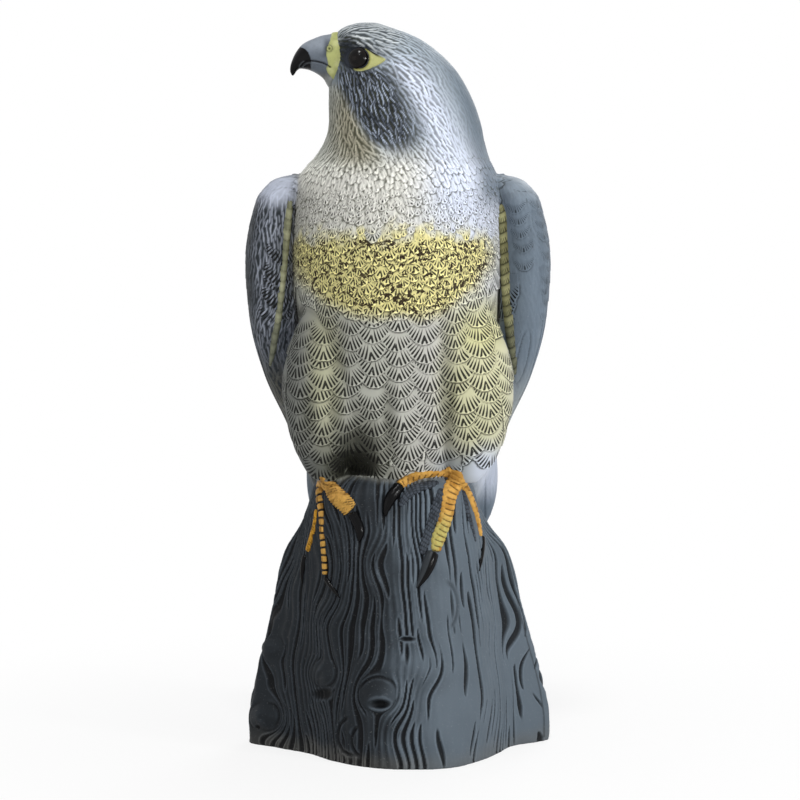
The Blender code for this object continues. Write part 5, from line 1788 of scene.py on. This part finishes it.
@dataclass
class Eyelid:
    """The bare skin round one eye, drawn as an outline round the eye's middle."""

    side: int
    middle: tuple = (359.5, 58.4)
    inner: float = 9.2
    rings: int = 15
    around: int = 144
    # Height over the head, of the rims at its outer and inner edge, and depth of the outer edge, in millimetres
    lift: float = 0.55
    rims: tuple = ((0.55, 0.12), (0.75, 0.16))
    sunk: float = -1.2
    # How far the inner edge is carried on towards the eye, and how much it is drawn in
    tuck: float = 0.2
    drawn_in: float = 0.93
    bare: tuple = (34, 38, 44)
    bare_edge: tuple = (44, 48, 56)
    yellow: tuple = (180, 181, 122)
    yellow_shade: tuple = (132, 128, 62)
    # Painted shade under the brow along the upper edge of the yellow corner
    corner: tuple = (40, 42, 44)
    # Turn in degrees from the back of the head, anticlockwise as seen, and reach in steps
    outline: tuple = (
        (-180, 14.6), (-152, 14.0), (-127, 13.3), (-97, 12.9), (-63, 13.2), (-34, 15.9), (-17.4, 20.7),
        (-7.3, 25.1), (-2, 27.2), (4, 22.6), (10, 19.4), (20, 16.1), (35, 13.6), (50, 12.4), (70, 12.0),
        (90, 11.7), (120, 11.9), (150, 13.0), (180, 14.6),
    )

    def build(self, skin: Skin) -> bpy.types.Object:
        """Lay the lid on the head."""
        turns = np.linspace(-180.0, 180.0, self.around, endpoint=False)
        table = np.array(self.outline)
        reach = np.interp(turns, table[:, 0], table[:, 1])
        radians = np.radians(turns)
        (outer, outer_width), (inner, inner_width) = self.rims
        rings, shares = [], []
        for n in range(self.rings):
            share = n / (self.rings - 1)
            radius = self.inner + (reach - self.inner) * share
            raised = self.lift + outer * bell(1 - share, outer_width) + inner * bell(share, inner_width)
            lift = (raised if share < 1 else self.sunk) * MM
            ring = []
            for turn, r in zip(radians, radius):
                u = self.middle[0] + r * math.cos(turn)
                v = self.middle[1] - r * math.sin(turn)
                place, normal = self.on_head(skin, u, v)
                ring.append(place + normal * lift)
            rings.append(np.array(ring))
            shares.append(np.full(self.around, share))
        under = rings[0] - (rings[1] - rings[0]) * self.tuck
        rings.insert(0, under * [1.0, self.drawn_in, 1.0])
        shares.insert(0, np.zeros(self.around))
        share = np.concatenate(shares)
        turn = np.tile(turns, len(rings))
        obj = lofted("eyelid_front" if self.side < 0 else "eyelid_rear", rings)
        radius = self.inner + (np.interp(turn, table[:, 0], table[:, 1]) - self.inner) * share
        yellow = ease(-122, -104, turn) * ease(62, 46, turn) * ease(10.2, 11.0, radius)
        keep_values(obj.data, "paint", sprayed(
            self.bare,
            (self.bare_edge, ease(10.4, 11.4, radius) * (1 - yellow)), (self.yellow, yellow),
            (self.yellow_shade, yellow * ease(12.6, 10.9, radius) * 0.8),
            # Painted shade under the brow along the corner's upper edge
            (self.corner, yellow * ease(-4, 14, turn) * ease(0.55, 0.80, share))))
        keep_values(obj.data, "gloss", np.full(len(share), 0.35))
        return obj

    def on_head(self, skin: Skin, across: float, down: float) -> tuple[np.ndarray, np.ndarray]:
        """Return the place on this side of the head, level with a place on the front sheet."""
        place, normal = skin.seen(across, down)
        if self.side < 0:
            return place, normal
        back = skin.tree.ray_cast(Vector((place[0], 0.3, place[2])), Vector((0.0, -1.0, 0.0)))
        return np.array(back[0]), np.array(back[1])


class Band(Enum):
    """How the plates of a toe are parted: slope of the gaps, where one starts and is full, and its depth."""

    BLOCKS = (0.05, 0.66, 0.76, 0.22)
    DASHES = (0.45, 0.70, 0.90, 0.07)
    ARCS = (0.10, 0.70, 0.90, 0.07)
    HATCH = (0.75, 0.60, 0.80, 0.10)
    PEBBLES = (0.30, 0.55, 0.85, 0.16)


@dataclass(frozen=True)
class Toe:
    """One toe laid on the stump, from its ankle to its claw."""

    name: str
    line: tuple
    band: Band
    pitch: float
    light: tuple = (206, 158, 80)
    shade: tuple = (158, 112, 46)
    end_tint: tuple = (206, 158, 80)
    rise: float = 0.85
    sink: float = 0.30
    gap: tuple = (20, 21, 22)
    shadow: tuple = (24, 26, 29)
    noise: Noise = Noise(33)

    def plates(self, run: np.ndarray, sideways: np.ndarray, width: np.ndarray) -> tuple[np.ndarray, ...]:
        """Part the toe into plates.

        Args:
            run: The run along the toe, in steps.
            sideways: The place across it, -1 to 1.
            width: Its half width there, in steps.

        Returns:
            How deep and how dark the gaps are, each plate's tone, and the place between its middle and its edge.
        """
        slope, start, full, deep = self.band.value
        bend = 0.30 if self.band is Band.ARCS else 0.0
        along = (run + slope * width * sideways + bend * width * sideways ** 2) / self.pitch
        index = np.floor(along)
        place = np.abs(along - index - 0.5) * 2
        tone = self.noise.at(index * 3.3 + 5, sideways * 1.2 + 9)
        gap = ease(start, full, place)
        if self.band is Band.BLOCKS:
            return deep * gap, gap, tone, place
        if self.band is Band.HATCH:
            return deep * gap, gap * ease(0.42, 0.62, self.noise.at(index * 5.1, sideways * 2.4 + 3)), tone, place
        if self.band is Band.PEBBLES:
            cross = ease(start, full, np.abs((sideways * 2.2 + 0.5 * (index % 2)) % 1.0 - 0.5) * 2)
            gap = np.maximum(gap, cross)
            return deep * gap, 0.7 * gap, tone, place
        low, high = (-0.62, 0.22) if self.band is Band.DASHES else (-0.80, 0.52)
        window = ease(low - 0.08, low + 0.04, sideways) * ease(high + 0.08, high - 0.04, sideways)
        return deep * gap + 0.05 * gap * window, gap * window * (0.7 + 0.3 * tone), tone, place

    def build(self, skin: Skin) -> bpy.types.Object:
        """Lay the toe, cut its plates and paint it."""
        grid = Grid(skin, LaidLine(self.line, 0.42 * MM), 40, self.rise, self.sink)
        run, width, sideways = grid.run, grid.half / SHEET.step, np.cos(grid.turn)
        top = np.clip(np.sin(grid.turn), 0.0, 1.0)
        cut, dark, tone, place = self.plates(run, sideways, width)
        ankle = ease(14, 4, run) * (self.band is not Band.PEBBLES)
        pebble = self.noise.at(run / 1.9 + 7, sideways * width / 1.7, grid.half * 0 + 3.5)
        bumps = 0.05 * (pebble - 0.5) * (0.4 + ankle)
        ends = ease(0.0, 2.5, run) * ease(run.max(), run.max() - 1.6, run)
        grid.size = (1 - cut * (1 - 0.6 * ankle) + bumps + 0.05 * (1 - place ** 2)) * (0.55 + 0.45 * ends)
        grid.values = {"gloss": np.full(len(run), 0.15), "paint": sprayed(
            self.light,
            (self.end_tint, ease(0.45, 0.75, run / run.max())),
            (self.shade, 0.75 * ease(0.45, 0.85, tone) + 0.35 * ease(0.5, 0.7, pebble)),
            # Painted shade on the toe's sides, darker as they turn away from the top
            (linear(self.shade) * 0.55, 0.55 * ease(0.55, 0.15, top)),
            (self.gap, dark * (1 - ankle)), (self.shadow, 0.9 * ease(0.16, 0.02, top)))}
        return grid.object(self.name)


@dataclass(frozen=True)
class Claw:
    """One claw: a tapered curved spike, half of it sunk in the bark."""

    name: str
    line: tuple
    shiny: float = 1.0
    grey_side: float = 0.0
    black: tuple = (12, 12, 13)
    grey: tuple = (52, 56, 60)

    def build(self, skin: Skin) -> bpy.types.Object:
        """Lay the claw and paint it."""
        grid = Grid(skin, LaidLine(self.line, 0.45 * MM), 32, 1.0, 0.15)
        grid.size = (0.60 + 0.40 * ease(0.0, 2.4, grid.run)) * (1 + 0.05 * bell(grid.run - 3.0, 1.6))
        grey = self.grey_side * ease(0.02, 0.16, np.cos(grid.turn))
        grid.values = {"paint": sprayed(self.black, (self.grey, grey)), "gloss": self.shiny * (1 - grey)}
        return grid.object(self.name)


@dataclass
class Feet:
    """Both feet: toes, bare pads beside them and claws."""

    green: tuple = (178, 168, 98)
    bare: tuple = (70, 77, 86)
    bare_shade: tuple = (46, 51, 58)

    def toes(self) -> tuple[Toe, ...]:
        """Return the toes and pads."""
        bare = {"band": Band.PEBBLES, "pitch": 4.2, "light": self.bare, "shade": self.bare_shade,
                "end_tint": self.bare, "rise": 0.42, "sink": 0.18}
        gold = {"light": (204, 157, 82), "shade": (134, 98, 44), "end_tint": (196, 152, 76)}
        return (
            Toe("toe_right_inner_pad", ((440, 481.5, 3.5), (430, 484, 5.0), (419, 487, 5.5), (409, 493, 5.5),
                                        (403, 502, 4.0), (401, 508, 2.0)), **bare),
            Toe("toe_right_middle_pad", ((442.5, 487, 4.0), (439.5, 498, 5.2), (436, 508, 5.4), (431.5, 523, 5.4),
                                         (426.5, 538, 5.0), (423.8, 549, 4.2), (423, 556, 2.2)), **bare),
            Toe("toe_right_outer_pad", ((463, 489, 3.0), (465.5, 499, 4.2), (468, 510, 4.4), (471.5, 523, 4.2),
                                        (474.6, 536, 3.6), (475.6, 543, 2.0)), **bare),
            Toe("toe_right_inner", ((455, 470.5, 6.6), (447, 472.5, 6.0), (438.9, 473, 5.2), (427.4, 473.6, 5.4),
                                    (415.9, 475.8, 5.6), (407.3, 479.9, 5.4), (401.4, 484.2, 5.2),
                                    (399.2, 486.2, 4.8)), Band.DASHES, 6.1),
            Toe("toe_right_outer", ((456.5, 471, 5.0), (461.9, 483.5, 5.4), (467.4, 491.1, 5.4),
                                    (471.2, 499.8, 5.6), (474.6, 509.3, 5.6), (477.0, 518.9, 5.2),
                                    (479.2, 528.5, 4.6), (480.8, 537.5, 3.4)), Band.DASHES, 5.7),
            Toe("toe_right_middle", ((454.5, 467.5, 5.5), (455.5, 474, 8.2), (454.6, 482.5, 8.4),
                                     (450.6, 491.1, 8.4), (448.9, 499.8, 7.8), (447.7, 509.3, 7.4),
                                     (445.6, 518.9, 7.1), (442.2, 528.5, 6.9), (438.4, 538, 7.1),
                                     (436.5, 546.7, 5.6), (436.2, 553.0, 4.2)), Band.ARCS, 5.5,
                end_tint=self.green, rise=0.72),
            Toe("toe_left_inner", ((323.9, 473.5, 3.6), (323.9, 479.4, 6.2), (329.0, 488.6, 8.2),
                                   (335.5, 495.0, 8.8), (341.6, 500.8, 8.9), (347.6, 506.4, 9.2),
                                   (352.2, 510.8, 8.6)), Band.HATCH, 3.1, rise=0.55, **gold),
            Toe("toe_left_outer", ((316.0, 508.0, 2.4), (315.2, 517.1, 2.6), (314.2, 526.3, 3.3),
                                   (311.6, 536.5, 3.7), (308.4, 547.6, 3.8), (307.0, 552.3, 3.2)),
                Band.HATCH, 2.9, light=(206, 152, 50), shade=(120, 84, 26), end_tint=(196, 144, 48)),
            Toe("toe_left_middle", ((323.2, 474.0, 3.6), (320.3, 482.4, 5.4), (318.9, 493.7, 5.0),
                                    (319.4, 501.8, 4.6), (320.5, 510.0, 3.6), (321.3, 521.2, 3.3),
                                    (322.0, 536.5, 3.3), (323.4, 551.8, 3.3), (324.1, 564.0, 3.3),
                                    (324.6, 576.0, 3.2)), Band.BLOCKS, 7.45, **gold),
        )

    @staticmethod
    def claws() -> tuple[Claw, ...]:
        """Return the claws."""
        return (
            Claw("claw_right_inner", ((400.4, 484.0, 5.2), (397.8, 488.3, 6.0), (391.7, 495.9, 6.0),
                                      (387.4, 505.5, 4.4), (385.4, 513.4, 2.2), (385.6, 518.0, 0.5))),
            Claw("claw_right_middle", ((434.2, 550.5, 4.6), (431.6, 556.0, 6.4), (429.6, 562.0, 6.6),
                                       (425.5, 572.5, 5.4), (420.4, 582.1, 3.1), (416.1, 589.6, 0.5)),
                 grey_side=1.0),
            Claw("claw_right_outer", ((482.4, 534.5, 2.0), (483.3, 540.0, 2.4), (482.9, 548.6, 2.4),
                                      (481.2, 560.0, 2.0), (479.1, 572.5, 0.4))),
            Claw("claw_left_inner", ((351.4, 511.5, 4.8), (355.6, 519.5, 5.2), (359.6, 529.0, 4.8),
                                     (360.2, 535.5, 3.6), (358.4, 543.0, 0.6))),
            Claw("claw_left_middle", ((324.8, 576.0, 2.4), (326.6, 580.4, 2.6), (331.4, 587.0, 2.5),
                                      (336.2, 593.2, 1.6), (340.4, 598.8, 0.4))),
            Claw("claw_left_outer", ((305.8, 553.5, 3.0), (304.2, 559.5, 3.4), (302.8, 568.0, 3.1),
                                     (302.0, 577.3, 2.0), (302.6, 585.5, 0.5)), shiny=0.6),
        )

    def build(self, skin: Skin) -> None:
        """Lay both feet and mount their pieces."""
        scutes = Horn("scutes", 0.50, 0.30).make()
        claw_finish = Horn("claw_black", 0.34, 0.12).make()
        for toe in self.toes():
            mount(toe.build(skin), scutes)
        for claw in self.claws():
            mount(claw.build(skin), claw_finish)


@dataclass(frozen=True)
class WingRoll:
    """The roll of small feathers down the front edge of one wing."""

    name: str
    line: tuple
    light: tuple
    shade: tuple
    lined: float = 0.75
    pitch: float = 10.4
    fade: tuple = (88, 94, 92)
    line_dark: tuple = (30, 27, 18)

    def build(self, skin: Skin) -> bpy.types.Object:
        """Lay the roll, part its feathers and paint it."""
        grid = Grid(skin, LaidLine(self.line, 0.5 * MM), 48, 0.85, 0.20)
        run, turn = grid.run, grid.turn
        sideways = np.cos(turn)
        along = (run + 2.6 * sideways ** 2 - 0.6 * sideways) / self.pitch
        place = along - np.floor(along)
        tone = Noise(5).at(np.floor(along) * 2.7, np.zeros(len(run)) + 4)
        step = ease(0.0, 0.10, place) * (1 - 0.35 * place)
        grid.size = 0.86 + 0.16 * step
        edge = ease(0.86, 0.97, place) + ease(0.10, 0.02, place)
        paint = sprayed(
            self.light,
            # Random tones from feather to feather, and painted shade on the roll's sides
            (self.shade, 0.55 * ease(0.3, 0.8, tone) + 0.6 * ease(0.25, 0.9, np.abs(sideways))),
            (self.fade, 0.6 * ease(0.45, 1.0, run / run.max())),
            (self.line_dark, self.lined * np.clip(edge, 0.0, 1.0)))
        # Each roll feather gets painted shade near its root
        grid.values = {"paint": paint, "barb": sideways * 4.2 + place, "ridge": place,
                       "groove": 0.6 * self.lined * ease(0.3, 0.6, place),
                       "wash": np.full(len(run), 0.6), "speck": np.zeros(len(run))}
        return grid.object(self.name)


@dataclass
class EyeDome:
    """One polished eye, finer than the CAD's, about the same axis and in its place."""

    name: str
    radius: float = 6.2 * MM
    rise: float = 3.4 * MM
    rows: int = 16
    sides: int = 64
    # How far it goes in under its edge, and how much narrower it is there
    seat: float = 1.2 * MM
    neck: float = 0.98
    # Turn from the axis of the ring round the crown
    crown_tilt: float = 0.01

    def build(self) -> bpy.types.Object:
        """Turn the dome from under its edge up to its crown."""
        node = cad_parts[self.name]
        points = np.array([node.matrix_world @ vert.co for vert in node.data.vertices])
        crown = points[np.abs(points[:, 1]).argmax()]
        out = unit(crown - points.mean(axis=0))
        level = unit(np.cross(out, (0.0, 0.0, 1.0)))
        around = np.linspace(0.0, 2 * math.pi, self.sides, endpoint=False)[:, None]
        spoke = np.cos(around) * level + np.sin(around) * np.cross(level, out)
        ball = (self.radius ** 2 + self.rise ** 2) / (2 * self.rise)
        edge = math.asin(self.radius / ball)
        rings = [crown + spoke * self.neck * self.radius - out * (self.rise + self.seat)]
        for tilt in np.linspace(edge, self.crown_tilt, self.rows):
            rings.append(crown + spoke * ball * math.sin(tilt) - out * ball * (1 - math.cos(tilt)))
        return lofted(f"{self.name}_dome", rings)


@dataclass
class Face:
    """The bill, the eyes and their lids."""

    def build(self, skin: Skin) -> None:
        """Build and mount the pieces of the face."""
        horn = Horn().make()
        mount(Bill().build(), horn)
        lid_finish = Horn("bare_skin", 0.45, 0.30).make()
        mount(Eyelid(-1).build(skin), lid_finish)
        mount(Eyelid(1).build(skin), lid_finish, "rear_shell")
        dome = EyeGloss().make()
        for name in ("eye_left", "eye_right"):
            mount(EyeDome(name).build(), dome, name)


@dataclass
class Figure:
    """The whole painted figure."""

    skin: Skin = field(default_factory=Skin)
    plumage: Plumage = field(default_factory=Plumage)
    bark: Bark = field(default_factory=Bark)
    quills: Quills = field(default_factory=Quills)
    paint: Paint = field(default_factory=Paint)
    fit: float = 0.3 * MM
    # Height of the fine strokes on the wings and on the body
    stroke_lift: tuple = (0.10 * MM, 0.52 * MM)
    # How far out the base plate's rim lies at least
    plate_rim: float = 0.050
    # Steps of the base plate's pocket: shrink across and rise
    pocket: tuple = ((1.0, 4.2 * MM), (0.95, 12.0 * MM))
    # Heights where the head and the breast begin
    neck_line: float = 0.325
    breast_line: float = 0.245
    # Each piece of the skin and the node that it stands in for
    pieces: tuple = (
        ("head_front", "front_shell"), ("head_rear", "rear_shell"), ("breast", "front_shell"),
        ("belly", "front_shell"), ("back", "rear_shell"), ("wing_minus_x", "rear_shell"),
        ("wing_plus_x", "rear_shell"), ("tail", "rear_shell"),
        ("stump_front_minus_x", "front_shell"), ("stump_rear_minus_x", "rear_shell"),
        ("stump_front_plus_x", "front_shell"), ("stump_rear_plus_x", "rear_shell"),
    )
    rolls: tuple = (
        WingRoll("wing_roll_plus_x", ((499.5, 203, 3.0), (502, 212, 6.0), (503, 235, 6.6), (504.5, 262, 6.6),
                                      (506.5, 290, 6.5), (508.5, 315, 6.2), (511, 340, 5.4), (513.5, 362, 3.6),
                                      (515, 376, 1.6)), (172, 170, 124), (110, 108, 74)),
        WingRoll("wing_roll_minus_x", ((290.5, 199, 2.4), (289, 212, 4.2), (286, 240, 4.8), (282, 280, 4.8),
                                       (278, 318, 4.4), (273, 350, 3.4), (270, 367, 1.6)),
                 (190, 191, 156), (128, 130, 104), 0.35),
    )

    def build(self) -> None:
        """Make the skin, raise its relief, paint it and part it into pieces."""
        skin_obj = self.skin.build()
        LOG.info("skin: %d vertices", len(self.skin.points))
        coat = self.plumage.dress(self.skin)
        LOG.info("feathers: %d", coat.count)
        points, values = self.relieved(coat)
        move_to(skin_obj.data, points)
        for name, value in values.items():
            keep_values(skin_obj.data, name, value)
        Face().build(self.skin)
        Feet().build(self.skin)
        shell = SprayedShell().make()
        for roll in self.rolls:
            mount(roll.build(self.skin), shell)
        self.open_foot(skin_obj)
        self.part_pieces(skin_obj, shell)
        black = MouldedBlack().make()
        for name in ("base_plate", "fill_plug"):
            dress_in(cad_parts[name], black)

    def relieved(self, coat: Coat) -> tuple[np.ndarray, dict[str, np.ndarray]]:
        """Work out where the relief lifts the skin to, and its paint.

        Args:
            coat: The feathers on the skin.

        Returns:
            The vertices' new places, and the values that the shell's finish reads, by name.
        """
        stroke, where = self.plumage.comb(self.skin)
        quill_height, quill_barb, quills = self.quills.raise_on(self.skin)
        bark_height, dark = self.bark.raise_on(self.skin)
        dent, dent_shade = self.plumage.dent(self.skin)
        stump = self.skin.share(Part.STUMP)
        torso = self.skin.share(*BODY)
        low, high = self.stroke_lift
        strokes = stroke * where * (low + (high - low) * torso) * (1 - 0.8 * quills)
        height = (coat.height * (1 - quills) + strokes) * (1 - stump)
        height = height * ease(0.85, 0.60, dent_shade) + quill_height + stump * bark_height
        hollow = self.skin.hollows(height, 5) / MM
        # Hollows of the relief get painted shade and its crests painted highlight
        relief = Relief(stroke, where, quills, dark, dent_shade, ease(0.02, 0.24, hollow), ease(0.03, 0.30, -hollow))
        height = (height - dent) * ease(0.0, 2 * MM, self.skin.points[:, 2])
        points = self.skin.points + self.skin.normals * height[:, None]
        points[self.skin.points[:, 2] < 0.6 * MM, 2] = 0.0
        values = self.paint.spray(self.skin, coat, relief)
        rear = ease(0.0, 0.5, self.skin.normals[:, 1])
        values["barb"] = np.where(quills > 0.5, quill_barb, values["barb"])
        values["groove"] = np.where(quills > 0.5, 0.12 * quills * rear, values["groove"])
        return points, values

    def open_foot(self, obj: bpy.types.Object) -> None:
        """Cut a pocket for the base plate into the skin's flat underside, with a wall and a roof."""
        plate = points_of(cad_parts["base_plate"].data)
        plate = plate[(plate[:, 2] < MM) & (np.hypot(plate[:, 0], plate[:, 1]) > self.plate_rim)]
        turns = np.arctan2(plate[:, 1], plate[:, 0])
        order = np.argsort(turns)
        reach = np.hypot(plate[order, 0], plate[order, 1]) + self.fit

        def edge(x: float, y: float) -> float:
            """Return the pocket's radius on the bearing of a place."""
            return float(np.interp(math.atan2(y, x), turns[order], reach, period=2 * math.pi))

        bm = bmesh.new()
        bm.from_mesh(obj.data)
        under = []
        for face in bm.faces:
            if face.normal.z < -0.9:
                x, y, z = face.calc_center_median()
                if z < 0.4 * MM and math.hypot(x, y) < edge(x, y):
                    under.append(face)
        bmesh.ops.delete(bm, geom=under, context="FACES")
        loop = [e for e in bm.edges if e.is_boundary]
        for vert in {vert for e in loop for vert in e.verts}:
            vert.co *= edge(vert.co.x, vert.co.y) / max(vert.co.xy.length, MM)
            vert.co.z = 0.0
        for shrink, rise in self.pocket:
            made = bmesh.ops.extrude_edge_only(bm, edges=loop)["geom"]
            loop = [e for e in made if isinstance(e, bmesh.types.BMEdge)]
            verts = list({vert for e in loop for vert in e.verts})
            bmesh.ops.scale(bm, vec=(shrink, shrink, 1.0), verts=verts)
            bmesh.ops.translate(bm, vec=(0.0, 0.0, rise), verts=verts)
        bmesh.ops.edgeloop_fill(bm, edges=loop)
        bmesh.ops.recalc_face_normals(bm, faces=bm.faces)
        bm.to_mesh(obj.data)
        bm.free()

    def part_pieces(self, obj: bpy.types.Object, finish: bpy.types.Material) -> None:
        """Part the skin into pieces, each with its own share of the relief."""
        mesh = obj.data
        first = read(mesh.polygons, "loop_start", 1, np.int64).ravel()
        corner = read(mesh.loops, "vertex_index", 1, np.int64).ravel()
        main = np.append(self.skin.main, np.full(len(mesh.vertices), Part.STUMP.value))[corner[first]]
        x, y, z = read(mesh.polygons, "center").T
        number = {name: n for n, (name, _) in enumerate(self.pieces)}
        head = np.where(y < 0, number["head_front"], number["head_rear"])
        front = np.where(z > self.breast_line, number["breast"], number["belly"])
        torso = np.where(z > self.neck_line, head, np.where(y > 0, number["back"], front))
        own = {Part.LEFT_SIDE_WING: number["wing_minus_x"], Part.RIGHT_SIDE_WING: number["wing_plus_x"],
               Part.LEFT_SIDE_THIGH: number["belly"], Part.RIGHT_SIDE_THIGH: number["belly"],
               Part.TAIL: number["tail"], Part.STUMP: number["stump_front_minus_x"] + (y > 0) + 2 * (x >= 0)}
        which = np.select([main == part.value for part in own], list(own.values()), torso)
        layer = mesh.attributes.new("piece", "INT", "FACE")
        layer.data.foreach_set("value", which.astype(np.int32))
        for _ in self.pieces:
            mesh.materials.append(None)
        mesh.polygons.foreach_set("material_index", which.astype(np.int32))
        mesh.normals_split_custom_set_from_vertices(normals_of(mesh))
        bpy.ops.object.select_all(action="DESELECT")
        obj.select_set(True)
        bpy.context.view_layer.objects.active = obj
        bpy.ops.object.mode_set(mode="EDIT")
        bpy.ops.mesh.select_all(action="SELECT")
        bpy.ops.mesh.separate(type="MATERIAL")
        bpy.ops.object.mode_set(mode="OBJECT")
        for piece in list(bpy.context.selected_objects):
            mark = piece.data.attributes["piece"]
            piece.name, node = self.pieces[mark.data[0].value]
            piece.data.attributes.remove(mark)
            mount(piece, finish, node)


def main() -> None:
    """Build the decoy's looks and report each piece."""
    logging.basicConfig(level=logging.INFO, format="%(message)s")
    Figure().build()
    Studio().build()
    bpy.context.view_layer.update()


if __name__ == "__main__":
    main()
